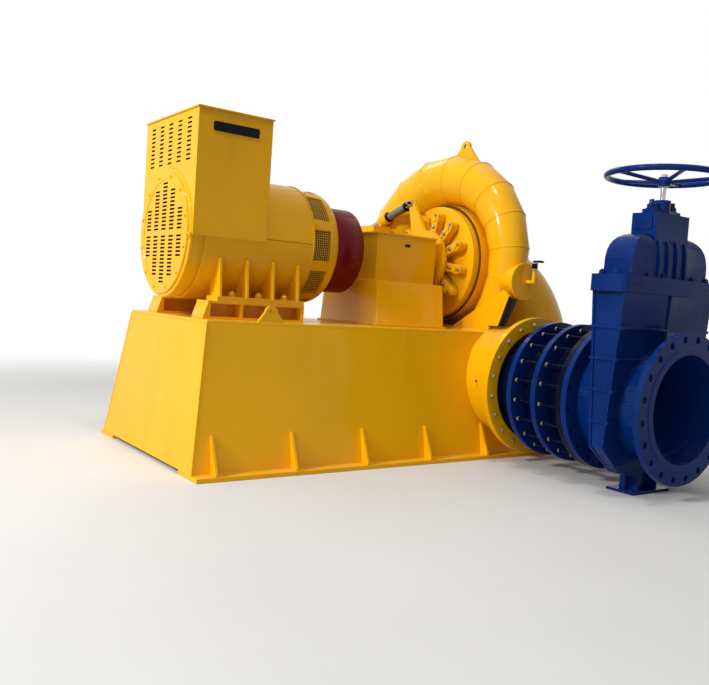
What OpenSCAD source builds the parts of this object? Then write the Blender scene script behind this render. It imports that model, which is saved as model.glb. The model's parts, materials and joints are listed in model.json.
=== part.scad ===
// Horizontal Francis turbine and generator on a shared welded base, with its inlet valve.
// Millimetres. +X runs along the shaft from the generator to the turbine, +Z is up.
// The origin is on the floor, under the shaft, halfway along the base.

/* [Base frame] */
// Width of the base across the feet of its side walls
base_width = 1370; // [1200:10:1600]
// How far the deck reaches beyond the generator stools
deck_margin = 70; // [40:5:120]
// How far the base's foot reaches beyond the side of the inlet pipe
foot_past_pipe = 98; // [96:2:120]
// How far each end wall leans in from foot to deck
end_lean = 100; // [40:5:160]
// How far each side wall leans in from foot to deck
side_lean = 130; // [60:5:180]
// Thickness of the wall and deck plates
plate_t = 16; // [10:1:25]
// Thickness of the foot plates
foot_t = 24; // [16:1:40]
// Width of each foot plate
foot_w = 235; // [180:5:300]
// How far the foot plates stand out beyond the side walls
foot_out = 67; // [40:1:110]
// Number of gussets along each side
gusset_count = 6; // [4:1:8]
// Height of each gusset
gusset_h = 200; // [120:5:300]

/* [Shaft line] */
// Gap between the floor and the inlet flange, which sets the height of the shaft
floor_gap = 56.3; // [30:0.1:110]
// Radius of the main shaft
shaft_r = 55; // [35:1:70]
// Radius of the flywheel
flywheel_r = 272; // [200:2:300]
// Width of the flywheel rim
flywheel_w = 230; // [140:5:240]

/* [Generator] */
// Radius of the generator barrel
barrel_r = 367; // [330:1:385]
// Height of the stools between the deck and the generator's feet
stool_h = 100; // [80:2:120]
// Length of the generator barrel
barrel_length = 690; // [600:5:760]
// Length of the ventilated ring at the drive end
shield_length = 205; // [160:5:210]
// Radius of the drive end face
shield_face_r = 335; // [310:1:345]
// Number of air windows round the drive end
window_count = 9; // [6:1:10]
// Radius of the perforated rear cover
cover_r = 325; // [280:1:335]
// Depth of the perforated rear cover
cover_depth = 55; // [30:1:90]
// Length of the terminal box along the shaft
tbox_length = 450; // [350:5:520]
// Width of the terminal box across the shaft
tbox_width = 750; // [740:5:860]
// Height of the terminal box top above the shaft
tbox_rise = 660; // [520:5:800]
// Columns of louvres in the end of the terminal box
louvre_columns = 5; // [2:1:5]
// Rows of louvres in the end of the terminal box
louvre_rows = 10; // [4:1:10]
// Columns of slots in the rear cover
slot_columns = 5; // [3:2:5]

/* [Bearing] */
// Length of the bearing housing
housing_length = 500; // [400:5:520]
// Width of the bearing housing
housing_width = 400; // [320:5:500]
// Height of the bearing housing above the shaft
housing_rise = 135; // [110:1:160]
// Depth of the bearing housing below the shaft
housing_drop = 175; // [140:5:185]

/* [Turbine] */
// Radius of the ring that carries the spiral case
stay_ring_r = 416; // [400:1:440]
// Pipe radius that the spiral case shrinks towards
case_tail_r = 120; // [100:1:140]
// Number of welded segments round the spiral case
case_segments = 15; // [12:1:18]
// Radius of the turbine head cover
head_cover_r = 396; // [370:1:400]
// Number of guide vane levers
lever_count = 12; // [12:1:12]
// Radius of the circle of guide vane spindles
spindle_circle_r = 300; // [290:1:310]
// Radius of the circle of regulating ring pins
ring_pin_circle_r = 190; // [184:1:196]
// Radius of the clevis pin circle at the end of the ring arm
arm_circle_r = 460; // [445:1:475]

/* [Draft tube] */
// Centreline radius of the draft tube bend
bend_r = 640; // [600:5:700]
// Pipe radius at the runner outlet
draft_inlet_r = 220; // [200:2:240]
// Pipe radius at the floor
draft_outlet_r = 320; // [280:2:340]

/* [Inlet] */
// Distance from the shaft to the near face of the yellow inlet flange
inlet_reach = 875; // [850:5:950]
// Width of the inlet flange outside its pipe
inlet_flange_w = 77; // [66:1:90]
// Distance of the inlet flange's bolt circle from its pipe
inlet_bolt_out = 34; // [30:1:40]
// Number of bolts in each pipe flange
flange_bolts = 20; // [20:1:20]
// Radius of the water passage
bore_r = 300; // [280:1:310]
// Width of the rubber seal between the joint sleeve and the inlet pipe
seal_w = 38; // [30:1:46]
// Width of the blue pipe flanges outside the water passage
valve_flange_w = 120; // [112:1:130]
// Distance of the blue flanges' bolt circle from the water passage
valve_bolt_out = 85; // [80:1:90]
// Radius of each flange bolt hole
bolt_hole_r = 18; // [14:0.5:18]
// Thickness of each blue pipe flange
valve_flange_t = 36; // [28:1:44]
// Face to face length of the gate valve
valve_length = 508; // [480:1:540]
// Gap between the inlet flange and the first joint ring
ring_gap = 143; // [110:1:180]
// Distance from one joint ring to the next
ring_pitch = 190; // [150:1:220]
// Height of the bonnet flange top above the valve axis
bonnet_rise = 705; // [640:5:760]
// Radius of the handwheel
handwheel_r = 310; // [260:2:380]
// Number of handwheel spokes
spoke_count = 5; // [3:1:6]

/* [Hidden] */

$fn = 96;
seat = 0.3;
run_fit = 0.05;
eps = 1;
far = 4000;

// Stack along the shaft, from the generator stools to the plane of the spiral case
support_length = barrel_length - 80;
gen_overhang = 60;
fly_gap = 10;
pedestal_gap = 90;
housing_in = 60;
gland_gap = 36;
ring_setback = 34;
ring_t = 25;
lever_gap = 7;
lever_t = 60;
cover_gap = 13;
cover_t = 55;
stay_half = 125;
machine_length = support_length + gen_overhang + shield_length + fly_gap + flywheel_w
    + pedestal_gap + housing_in + housing_length + gland_gap + ring_setback + ring_t
    + lever_gap + lever_t + cover_gap + cover_t + stay_half;

// Radii of the inlet line, which give the spiral case its size
pipe_wall = 12;
sleeve_r = bore_r + pipe_wall;
case_inlet_r = sleeve_r + seal_w + pipe_wall;
inlet_flange_r = case_inlet_r + inlet_flange_w;
inlet_bolt_circle_r = case_inlet_r + inlet_bolt_out;
valve_flange_r = bore_r + valve_flange_w;
valve_bolt_circle_r = bore_r + valve_bolt_out;

base_length = end_lean + deck_margin + machine_length + case_inlet_r + foot_past_pipe;
support_x0 = -base_length / 2 + end_lean + deck_margin;
support_x1 = support_x0 + support_length;
gen_x1 = support_x1 + gen_overhang;
gen_x0 = gen_x1 - barrel_length;
shield_x1 = gen_x1 + shield_length;
fly_x0 = shield_x1 + fly_gap;
fly_x1 = fly_x0 + flywheel_w;
pedestal_x0 = fly_x1 + pedestal_gap;
housing_x0 = pedestal_x0 + housing_in;
housing_x1 = housing_x0 + housing_length;
gland_x0 = housing_x1 + gland_gap;
ring_x0 = gland_x0 + ring_setback;
lever_x0 = ring_x0 + ring_t + lever_gap;
lever_x1 = lever_x0 + lever_t;
cover_face_x = lever_x1 + cover_gap;
stay_x0 = cover_face_x + cover_t;
case_x = stay_x0 + stay_half;
stay_x1 = case_x + stay_half;

// Spiral case, and the heights that follow from it
case_start = -90;
case_end = 210;
case_step = (case_end - case_start) / case_segments;
case_inner_r = (stay_ring_r + seat) / cos(case_step / 2);
case_sides = 32;
case_vanish = 225;
inlet_z = floor_gap + inlet_flange_r;
shaft_height = inlet_z + case_inlet_r + case_inner_r;

// Base frame, whose deck lies a stool's height below the generator's feet
support_drop = 365;
support_top = shaft_height - support_drop;
deck_height = support_top - stool_h;
wall_h = deck_height - foot_t;
deck_length = base_length - 2 * end_lean;
deck_width = base_width - 2 * side_lean;
foot_outer = base_width / 2 + foot_out;
gusset_t = 16;
gusset_first = 105;
gusset_last = 245;
gusset_x0 = -base_length / 2 + gusset_first;
gusset_pitch = (base_length - gusset_first - gusset_last) / (gusset_count - 1);
gusset_lip = 14;
gusset_in = 4;
lug_from_stool = 315;
lug_x = support_x0 + lug_from_stool;
lug_r = 38;
lug_half = 82;
lug_rise = 58;
lug_hole_r = 16;
lug_t = 20;
beam_w = 110;
beam_h = 180;

// Generator
rear_ring_len = 40;
cover_x0 = gen_x0 - rear_ring_len - cover_depth;
slot_pitch_y = 2 * cover_r / 5.8;
slot_pitch_z = 21.5;
slot_w = 64;
slot_h = 11;
slot_depth = 12;
slot_field_r = cover_r - 33;
tbox_x0 = gen_x0 - 80;
tbox_top = shaft_height + tbox_rise;
tbox_drop = 18;
lid_t = 9;
lid_over = 9;
louvre_pitch_y = (tbox_width - 100) / 5;
louvre_pitch_z = 24.5;
louvre_w = 56;
louvre_h = 10;
louvre_top = tbox_top - 40;
support_y0 = 255;
support_y1 = 405;
support_plate = 14;
support_web_y = 90;
support_web_t = 16;
support_flare = 26;
rail_t = 26;
rail_in = 5;
rib_t = 14;
rib_count = 4;
rib_first = 75;
rib_pitch = (support_length - rib_first - 37) / (rib_count - 1);
rib_top = shaft_height - 125;
rib_tip_r = 20;
window_a = 30;
window_x0 = gen_x1 + 12;
window_x1 = gen_x1 + 136;
window_depth = 32;
screen_t = 4;
mesh_columns = 5;
mesh_rows = 8;
mesh_share = 0.68;

// Shaft line
pedestal_x1 = housing_x1;
pedestal_y_top = 300;
pedestal_y_foot = 335;
pedestal_flange_t = 12;
pedestal_lip = 15;
housing_z0 = shaft_height - housing_drop;
housing_lid_t = 12;
housing_lid_over = 8;
sight_x = housing_x0 + 256;
sight_z = shaft_height + 74;
sight_half = 15;
sight_r = 11;
shaft_x0 = shield_x1 - 30;
hub_r = 118;

// Guide vane gear
gland_r = 130;
gland_step = 12;
ring_outer_r = 216;
spindle_a = 10;
spindle_r = 16;
boss_r = 34;
lever_w = 58;
spindle_out = lever_gap + lever_t + cover_gap;
lever_heel = 22;
fork_tip = 16;
fork_depth = 25;
ring_pin_r = 8;
slot_clear = 4.5;
arm_angle = 66;
arm_root_half = 70;
ring_travel = 12;
arm_pin_r = 12;
arm_boss_r = 28;
servo_slope = 90 - arm_angle - ring_travel / 2;
servo_r = 30;
servo_band = 6;
servo_tail_r = 20;
servo_rod_r = 14;
servo_x = ring_x0 + ring_t / 2;
servo_near = 60;
servo_far = 345;
servo_clamp_w = 36;
servo_tail = 640;
servo_bore = 150;
rod_end_gap = 20;
fork_play = 2;
fork_cheek = 11.5;
fork_half = 20;
fork_swing = 12;
fork_pin_play = 4;
pin_y = arm_circle_r * cos(arm_angle);
pin_z = shaft_height + arm_circle_r * sin(arm_angle);
clamp_y = pin_y + (servo_far + servo_clamp_w / 2) * cos(servo_slope);
clamp_z = pin_z - (servo_far + servo_clamp_w / 2) * sin(servo_slope);
stand_gap = 16;
stand_length = 150;
stand_near = 175;
stand_past = 12;
stand_x1 = gland_x0 - stand_gap;
stand_x0 = stand_x1 - stand_length;
stand_y0 = clamp_y - stand_near;
stand_y1 = clamp_y + stand_past;
shelf_half = 60;
clamp_half_x = 28;
clamp_wall = 11;
shelf_t = 20;
shelf_drop = 62;

// Inlet line, along -Y
inlet_flange_t = 40;
inlet_hole_r = 14;
seal_recess = 25;
seal_t = 30;
sleeve_reach = 120;
passage_reach = 160;
ring1_y = -(inlet_reach + ring_gap);
ring2_y = ring1_y - ring_pitch;
valve_y1 = ring2_y - ring_pitch - valve_flange_t;
valve_y0 = valve_y1 - valve_length;
valve_y = (valve_y0 + valve_y1) / 2;

// Gate valve
barrel_wall = 22;
bonnet_z = inlet_z + bonnet_rise;
bonnet_flange_t = 92;
bonnet_half_x = 440;
bonnet_half_y = 118;
bonnet_corner_r = 45;
neck_half_x = 400;
neck_half_y = 104;
neck_foot_half_y = 36;
neck_knee_z = inlet_z - 230;
neck_sole_half = 235;
neck_rib_count = 4;
neck_rib_z = bonnet_z - 290;
neck_rib_pitch = 171;
neck_rib_t = 14;
neck_rib_out = 11;
dome_half_x = 350;
dome_half_y = 90;
dome_h = 245;
dome_rib_count = 4;
dome_rib_pitch = 82;
block_half_x = 150;
block_half_y = 80;
block_h = 112;
pad_half_y = 52;
pad_t = 8;
gland_h = 80;
gland_half_x = 125;
gland_half_y = 38;
gland_plate_t = 24;
gland_body_r = 46;
stem_r = 15;
stem_depth = 60;
wheel_z = bonnet_z + dome_h + block_h + gland_h + 100;
wheel_rise = 35;
wheel_rim_r = 17;
wheel_hub_r = 32;
wheel_hub_h = 52;
wheel_spoke_r = 11;
valve_sole_z = inlet_z - valve_flange_r + 40;
valve_foot_w = 340;
valve_foot_y = 180;
valve_foot_plate = 16;
valve_foot_web = 24;

// Side nozzle, web, nose and lug of the spiral case
nozzle_z = shaft_height - 115;
nozzle_r = 115;
nozzle_y = case_inner_r + 2 * case_r(180) + 26;
nozzle_depth = 140;
nozzle_cap_r = nozzle_r + 8;
nozzle_cap_t = 16;
vent_r = 13;
vent_out = 60;
vent_x = case_x + 20;
vent_body_z = nozzle_z + 80;
vent_body_h = 50;
vent_body_grow = 6;
vent_pin_r = 6;
vent_pin_h = 14;
web_t = 20;
web_x1 = case_x - case_r(190) - seat;
web_reach = case_inner_r + 2 * case_r(190);
web_toe = 165;
web_top_z = shaft_height - 179;
web_tip_z = shaft_height - 219;
web_foot_z = deck_height + 46;
nose_length = 330;
case_lug_t = 22;
case_lug_y = -50;
case_lug_r = 44;
case_lug_hole_r = 17;
case_lug_base = 145;
case_lug_h = 120;

// Draft tube
bend_x = stay_x1 + 80;
draft_z = shaft_height - bend_r;
draft_x = bend_x + bend_r;
draft_steps = 12;
draft_sides = 40;
rear_cover_t = 65;
rear_lip_t = 30;
rear_lip_r = stay_ring_r - 76;
rear_neck_r = draft_inlet_r + 60;
draft_flange_t = 30;
draft_flange_w = 55;
draft_bolts = 12;
draft_bolt_in = 30;
draft_hole_r = 11;

// Openings in the deck and the rear wall where the spiral case passes them
notch_half_x = case_r(-35) + 20;
notch_z = shaft_height - (case_inner_r + 2 * case_r(-50)) * sin(50) - 60;
nose_notch_half_x = case_r(190) + seat;
nose_notch_y0 = -(case_inner_r + case_r(case_end)) * cos(180 - case_end) - 46;

function case_r(a) = case_tail_r
    + (case_inlet_r - case_tail_r) * pow((case_vanish - a) / (case_vanish - case_start), 1.6);

// Flat shape in Y and Z, drawn out along +X
module along_x(x0, length) {
    translate([x0, 0, 0]) rotate([90, 0, 90]) linear_extrude(length) children();
}

// Flat shape in X and Z, drawn out along +Y
module along_y(y0, length) {
    translate([0, y0 + length, 0]) rotate([90, 0, 0]) linear_extrude(length) children();
}

// Round bar on the shaft line
module shaft_disc(x0, length, r) {
    translate([x0, 0, shaft_height]) rotate([0, 90, 0]) cylinder(h = length, r = r);
}

// Solid turned about the shaft line from points of radius and X
module shaft_turn(points) {
    translate([0, 0, shaft_height]) rotate([0, 90, 0]) rotate_extrude() polygon(points);
}

// Round bar along the inlet line, from y0 towards +Y
module inlet_disc(y0, length, r) {
    translate([case_x, y0 + length, inlet_z]) rotate([90, 0, 0]) cylinder(h = length, r = r);
}

// Holes of a pipe flange
module inlet_holes(y0, length, circle_r, r) {
    for (i = [0:flange_bolts - 1]) {
        a = (i + 0.5) * 360 / flange_bolts;
        translate([circle_r * cos(a), 0, circle_r * sin(a)])
            translate([case_x, y0 + length, inlet_z]) rotate([90, 0, 0])
            cylinder(h = length, r = r, $fn = 24);
    }
}

module both_sides() {
    children();
    mirror([0, 1, 0]) children();
}

// Upright slab that leans inwards, its outer face through the foot line
module leaning_side(t, top) {
    lean = side_lean * (top - foot_t) / wall_h;
    along_x(-base_length / 2, base_length)
        polygon([[-base_width / 2, foot_t], [-base_width / 2 + t, foot_t],
                 [-base_width / 2 + t + lean, top], [-base_width / 2 + lean, top]]);
}

// Silhouette of the base seen from the side, between its end walls
module base_side_outline(inset, top) {
    lean = end_lean * (top - foot_t) / wall_h;
    polygon([[-base_length / 2 + inset, foot_t], [base_length / 2 - inset, foot_t],
             [base_length / 2 - lean - inset, top], [-base_length / 2 + lean + inset, top]]);
}

module side_wall() {
    intersection() {
        leaning_side(plate_t, deck_height - plate_t);
        along_y(-far / 2, far) base_side_outline(0, deck_height - plate_t);
    }
}

module base_front_wall() {
    color("gold") difference() {
        side_wall();
        inlet_disc(-far / 2, far, case_inlet_r + seat);
    }
}

module base_rear_wall() {
    color("gold") difference() {
        mirror([0, 1, 0]) side_wall();
        translate([case_x - notch_half_x, 0, notch_z]) cube([2 * notch_half_x, far, far]);
    }
}

module base_end_walls() {
    inner = base_width / 2 - plate_t;
    top = deck_height - plate_t;
    lean = side_lean * (top - foot_t) / wall_h;
    color("gold") intersection() {
        along_y(-far / 2, far) difference() {
            base_side_outline(0, top);
            base_side_outline(plate_t, top);
        }
        along_x(-far / 2, far)
            polygon([[-inner, foot_t], [inner, foot_t], [inner - lean, top], [-inner + lean, top]]);
    }
}

module base_deck() {
    low = deck_height - plate_t;
    color("gold") difference() {
        intersection() {
            along_y(-far / 2, far)
                polygon([[-deck_length / 2 - end_lean * plate_t / wall_h, low],
                         [deck_length / 2 + end_lean * plate_t / wall_h, low],
                         [deck_length / 2, deck_height], [-deck_length / 2, deck_height]]);
            along_x(-far / 2, far)
                polygon([[-deck_width / 2 - side_lean * plate_t / wall_h, low],
                         [deck_width / 2 + side_lean * plate_t / wall_h, low],
                         [deck_width / 2, deck_height], [-deck_width / 2, deck_height]]);
        }
        translate([case_x - notch_half_x, -40, low - eps]) cube([2 * notch_half_x, far, far]);
        translate([case_x - nose_notch_half_x, nose_notch_y0, low - eps])
            cube([2 * nose_notch_half_x, -nose_notch_y0, far]);
        inlet_disc(-far / 2, far, case_inlet_r + seat);
    }
}

module base_foot_plates() {
    color("gold") both_sides()
        translate([-base_length / 2, -foot_outer, 0]) cube([base_length, foot_w, foot_t]);
}

module base_cross_beams() {
    inner = foot_outer - foot_w;
    color("goldenrod") for (x = [-base_length / 3, 0]) translate([x, 0, 0]) {
        translate([-beam_w / 2, -inner, 0]) cube([beam_w, 2 * inner, foot_t]);
        translate([-plate_t / 2, -inner, foot_t]) cube([plate_t, 2 * inner, beam_h]);
    }
}

module base_gussets() {
    lean = side_lean * gusset_h / wall_h;
    y = -base_width / 2;
    color("gold") difference() {
        both_sides() for (i = [0:gusset_count - 1])
            along_x(gusset_x0 + i * gusset_pitch, gusset_t)
                polygon([[y, foot_t], [y + lean, foot_t + gusset_h],
                         [y + lean - gusset_lip, foot_t + gusset_h],
                         [y - foot_out + gusset_in, foot_t + gusset_lip],
                         [y - foot_out + gusset_in, foot_t]]);
        inlet_disc(-far / 2, far / 2, case_inlet_r + 2);
    }
}

module base_lifting_lugs() {
    y = -deck_width / 2 + gusset_in;
    color("gold") both_sides() along_y(y, lug_t) difference() {
        union() {
            polygon([[lug_x - lug_half, deck_height], [lug_x + lug_half, deck_height],
                     [lug_x + lug_r, deck_height + lug_rise], [lug_x - lug_r, deck_height + lug_rise]]);
            translate([lug_x, deck_height + lug_rise - 3]) circle(r = lug_r, $fn = 48);
        }
        translate([lug_x, deck_height + lug_rise]) circle(r = lug_hole_r, $fn = 32);
    }
}

// Stools between the deck and the generator feet, each a top plate on a web and four legs
module generator_supports() {
    low = deck_height + support_plate - eps;
    high = support_top - support_plate + eps;
    leg = support_web_t;
    color("gold") both_sides() translate([0, -support_y1, 0]) {
        translate([support_x0, 0, support_top - support_plate])
            cube([support_length, support_y1 - support_y0, support_plate]);
        translate([support_x0 - support_flare, 0, deck_height])
            cube([support_length + support_flare, support_y1 - support_y0, support_plate]);
        translate([support_x0, support_web_y, low])
            cube([support_length, support_plate, high - low]);
        along_y(0, support_y1 - support_y0)
            polygon([[support_x0 - support_flare, low], [support_x0 + leg, low],
                     [support_x0 + leg, high], [support_x0, high]]);
        for (i = [1:rib_count - 1])
            translate([support_x0 + i * (support_length - leg) / (rib_count - 1), 0, low])
                cube([leg, support_web_y + eps, high - low]);
    }
}

// Rails along the barrel with upright ribs that reach up to it
module generator_feet() {
    tip_y = -support_y1 + 40 + rib_tip_r;
    color("gold") both_sides() difference() {
        union() {
            translate([support_x0 + rib_first - rib_tip_r, -support_y1 + rail_in, support_top])
                cube([support_length - rib_first + rib_tip_r, support_y1 - support_y0 - 2 * rail_in,
                      rail_t]);
            for (i = [0:rib_count - 1]) along_x(support_x0 + rib_first + i * rib_pitch, rib_t) {
                polygon([[-support_y1 + 20, support_top + rail_t - eps],
                         [-support_y0, support_top + rail_t - eps],
                         [-support_y0, rib_top], [tip_y, rib_top],
                         [tip_y - rib_tip_r, rib_top - rib_tip_r]]);
                translate([tip_y, rib_top - rib_tip_r]) circle(r = rib_tip_r, $fn = 32);
            }
        }
        shaft_disc(gen_x0 - far / 2, far, barrel_r + seat);
    }
}

module generator_barrel() {
    color("gold") shaft_turn([[0, gen_x0], [barrel_r - 4, gen_x0], [barrel_r, gen_x0 + 4],
                              [barrel_r, gen_x1], [0, gen_x1]]);
}

module generator_rear_ring() {
    x0 = gen_x0 - rear_ring_len;
    color("goldenrod") shaft_turn([[0, x0], [cover_r + 6, x0], [cover_r + 6, x0 + 14],
                                   [barrel_r - 16, x0 + 14], [barrel_r - 10, x0 + 20],
                                   [barrel_r - 10, gen_x0], [0, gen_x0]]);
}

module generator_rear_cover() {
    x1 = gen_x0 - rear_ring_len;
    color("gold") difference() {
        shaft_turn([[0, cover_x0], [cover_r - 10, cover_x0], [cover_r - 3, cover_x0 + 3],
                    [cover_r, cover_x0 + 10], [cover_r, x1], [0, x1]]);
        along_x(cover_x0 - eps, slot_depth + eps) rear_cover_slots();
    }
}

// Rows of air slots above and below a plain band, inside a round field
module rear_cover_slots() {
    columns = (slot_columns - 1) / 2;
    rows = floor(slot_field_r / slot_pitch_z);
    for (i = [-columns:columns]) for (j = [-rows:rows]) {
        y = i * slot_pitch_y;
        z = j * slot_pitch_z;
        if (j != 0 && norm([abs(y) + slot_w / 2, z]) < slot_field_r)
            translate([y - slot_w / 2, shaft_height + z - slot_h / 2]) square([slot_w, slot_h]);
    }
}

module terminal_box() {
    color("gold") difference() {
        translate([tbox_x0, -tbox_width / 2, shaft_height - tbox_drop])
            cube([tbox_length, tbox_width, tbox_top - shaft_height + tbox_drop]);
        shaft_disc(tbox_x0 - eps, tbox_length + 2 * eps, barrel_r + seat);
        along_x(tbox_x0 - eps, slot_depth + eps)
            for (i = [0:louvre_columns - 1]) for (j = [0:louvre_rows - 1])
                translate([(i - (louvre_columns - 1) / 2) * louvre_pitch_y - louvre_w / 2,
                           louvre_top - j * louvre_pitch_z - louvre_h])
                    square([louvre_w, louvre_h]);
    }
}

module terminal_box_lid() {
    color("gold") translate([tbox_x0 - lid_over, -tbox_width / 2 - lid_over, tbox_top])
        cube([tbox_length + 2 * lid_over, tbox_width + 2 * lid_over, lid_t]);
}

module drive_end_shield() {
    color("gold") difference() {
        shaft_turn([[0, gen_x1], [barrel_r + 4, gen_x1], [barrel_r + 4, gen_x1 + 8],
                    [barrel_r - 2, gen_x1 + 10], [barrel_r - 12, window_x1],
                    [shield_face_r + 12, shield_x1 - 30], [shield_face_r, shield_x1 - 8],
                    [shield_face_r - 8, shield_x1], [0, shield_x1]]);
        for (i = [0:window_count - 1]) intersection() {
            window_band(barrel_r - window_depth, barrel_r + 20, window_x0, window_x1);
            window_sector(window_centre(i), window_a / 2);
        }
        shaft_disc(shield_x1 - 40, 41, shaft_r + 8);
    }
}

function window_centre(i) = (i + 0.5) * 360 / window_count;

// Ring about the shaft between two radii and two places along it
module window_band(r0, r1, x0, x1) {
    shaft_turn([[r0, x0], [r1, x0], [r1, x1], [r0, x1]]);
}

// Wedge about the shaft, half wide to each side of the angle a
module window_sector(a, half) {
    translate([window_x0 - eps, 0, shaft_height]) rotate([90, 0, 90])
        linear_extrude(window_x1 - window_x0 + 2 * eps)
        polygon([[0, 0], [far * cos(a - half), far * sin(a - half)],
                 [far * cos(a + half), far * sin(a + half)]]);
}

// Perforated panels on the floor of the windows
module air_screens() {
    r0 = barrel_r - window_depth + seat;
    x0 = window_x0 + seat;
    x1 = window_x1 - seat;
    step = (x1 - x0) / mesh_columns;
    turn = window_a / mesh_rows;
    color("#5a4a20") for (i = [0:window_count - 1]) difference() {
        intersection() {
            window_band(r0, r0 + screen_t, x0, x1);
            window_sector(window_centre(i), window_a / 2 - 0.1);
        }
        intersection() {
            union() for (k = [0:mesh_columns - 1])
                window_band(r0 - eps, r0 + screen_t + eps, x0 + (k + 0.5 - mesh_share / 2) * step,
                            x0 + (k + 0.5 + mesh_share / 2) * step);
            union() for (k = [0:mesh_rows - 1])
                window_sector(window_centre(i) + (k + 0.5) * turn - window_a / 2,
                              turn * mesh_share / 2);
        }
    }
}

module flywheel() {
    color("maroon") shaft_turn([[shaft_r + seat, fly_x0], [flywheel_r - 26, fly_x0],
                                [flywheel_r - 8, fly_x0 + 8], [flywheel_r, fly_x0 + 26],
                                [flywheel_r, fly_x1 - 8], [flywheel_r - 8, fly_x1],
                                [flywheel_r - 46, fly_x1], [flywheel_r - 52, fly_x1 - 14],
                                [hub_r, fly_x1 - 14], [hub_r - 6, fly_x1],
                                [shaft_r + seat, fly_x1]]);
}

module main_shaft() {
    color("silver") shaft_turn([[0, shaft_x0], [shaft_r, shaft_x0], [shaft_r, gland_x0 + 60],
                                [0, gland_x0 + 60]]);
}

module bearing_pedestal() {
    color("gold") {
        translate([pedestal_x0 - pedestal_lip, -pedestal_y_foot - pedestal_lip, deck_height])
            cube([pedestal_x1 - pedestal_x0 + 2 * pedestal_lip,
                  2 * (pedestal_y_foot + pedestal_lip), pedestal_flange_t]);
        along_x(pedestal_x0, pedestal_x1 - pedestal_x0)
            polygon([[-pedestal_y_foot, deck_height + eps], [pedestal_y_foot, deck_height + eps],
                     [pedestal_y_top, housing_z0], [-pedestal_y_top, housing_z0]]);
    }
}

module bearing_housing() {
    color("gold") difference() {
        translate([housing_x0, -housing_width / 2, housing_z0])
            cube([housing_length, housing_width, housing_drop + housing_rise]);
        shaft_disc(housing_x0 - eps, housing_length + 2 * eps, shaft_r + run_fit);
        along_y(-housing_width / 2 - eps, slot_depth + eps) translate([sight_x, sight_z]) {
            square([2 * sight_half, 2 * sight_r], center = true);
            for (x = [-sight_half, sight_half]) translate([x, 0]) circle(r = sight_r, $fn = 32);
        }
    }
}

module bearing_cover() {
    color("gold") translate([housing_x0 - housing_lid_over, -housing_width / 2 - housing_lid_over,
                             shaft_height + housing_rise])
        cube([housing_length + 2 * housing_lid_over, housing_width + 2 * housing_lid_over,
              housing_lid_t]);
}

// Column on the deck that carries the clamp of the servo cylinder
module governor_stand() {
    shelf_top = clamp_z - shelf_drop;
    color("gold") difference() {
        union() {
            translate([stand_x0, stand_y0, deck_height])
                cube([stand_x1 - stand_x0, stand_y1 - stand_y0, shelf_top - deck_height]);
            translate([stand_x0, clamp_y - shelf_half, shelf_top - shelf_t])
                cube([servo_x + servo_r - stand_x0, 2 * shelf_half, shelf_t]);
            translate([servo_x - clamp_half_x, clamp_y - servo_clamp_w / 2, shelf_top - eps])
                cube([2 * clamp_half_x, servo_clamp_w, shelf_drop + eps]);
            servo_bar(servo_far, servo_clamp_w, servo_r + clamp_wall);
        }
        servo_bar(servo_far - eps, servo_clamp_w + shelf_drop, servo_r + seat);
        servo_bar(servo_far - shelf_drop, shelf_drop, servo_r + servo_band + seat);
    }
}

// Round bar on the servo line, measured from the arm pin
module servo_bar(start, length, r) {
    translate([servo_x, pin_y, pin_z]) rotate([-90 - servo_slope, 0, 0])
        translate([0, 0, start]) cylinder(h = length, r = r, $fn = 48);
}

module servo_cylinder() {
    color("#3a3a3e") difference() {
        union() {
            servo_bar(servo_near, servo_far + servo_clamp_w + 10 - servo_near, servo_r);
            servo_bar(servo_near, 14, servo_r + servo_band);
            servo_bar(servo_far - 16, 14, servo_r + servo_band);
            servo_bar(servo_far + servo_clamp_w + 10, servo_tail - servo_far - servo_clamp_w - 10,
                      servo_tail_r);
        }
        servo_bar(servo_near - eps, servo_bore, servo_rod_r + run_fit);
    }
}

// Rod end with a fork round the ring arm
module servo_rod() {
    slot = ring_t + 2 * fork_play;
    half = ring_t / 2 + fork_play + fork_cheek;
    reach = arm_boss_r + fork_swing;
    color("#b8b8b4") {
        difference() {
            union() {
                servo_block(half, fork_half, -fork_half, reach + fork_cheek);
                servo_bar(reach + eps, servo_near + servo_bore - rod_end_gap - reach, servo_rod_r);
            }
            servo_block(slot / 2, fork_half + eps, -fork_half - eps, reach);
        }
        translate([servo_x - half, pin_y, pin_z]) rotate([0, 90, 0])
            cylinder(h = 2 * half, r = arm_pin_r - fork_pin_play, $fn = 32);
    }
}

// Block on the servo line, from one place to another measured from the arm pin
module servo_block(half_x, half_y, start, end) {
    translate([servo_x, pin_y, pin_z]) rotate([-90 - servo_slope, 0, 0])
        translate([-half_x, -half_y, start]) cube([2 * half_x, 2 * half_y, end - start]);
}

module head_cover() {
    x1 = cover_face_x + cover_t;
    color("gold") {
        shaft_turn([[0, cover_face_x], [head_cover_r - 4, cover_face_x],
                    [head_cover_r, cover_face_x + 4], [head_cover_r, x1], [0, x1]]);
        for (i = [0:lever_count - 1]) spindle(i, cover_face_x - spindle_out, spindle_out + eps, spindle_r);
    }
}

// Bar parallel to the shaft on the spindle circle
module spindle(i, x0, length, r) {
    a = i * 360 / lever_count + spindle_a;
    translate([x0, spindle_circle_r * cos(a), shaft_height + spindle_circle_r * sin(a)])
        rotate([0, 90, 0]) cylinder(h = length, r = r, $fn = 32);
}

module shaft_gland() {
    color("#6b4a1c") difference() {
        shaft_turn([[0, gland_x0], [gland_r - gland_step, gland_x0],
                    [gland_r - gland_step, ring_x0 - 6], [gland_r, ring_x0 - 6],
                    [gland_r, cover_face_x], [0, cover_face_x]]);
        shaft_disc(gland_x0 - eps, 70, shaft_r + run_fit);
    }
}

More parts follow.
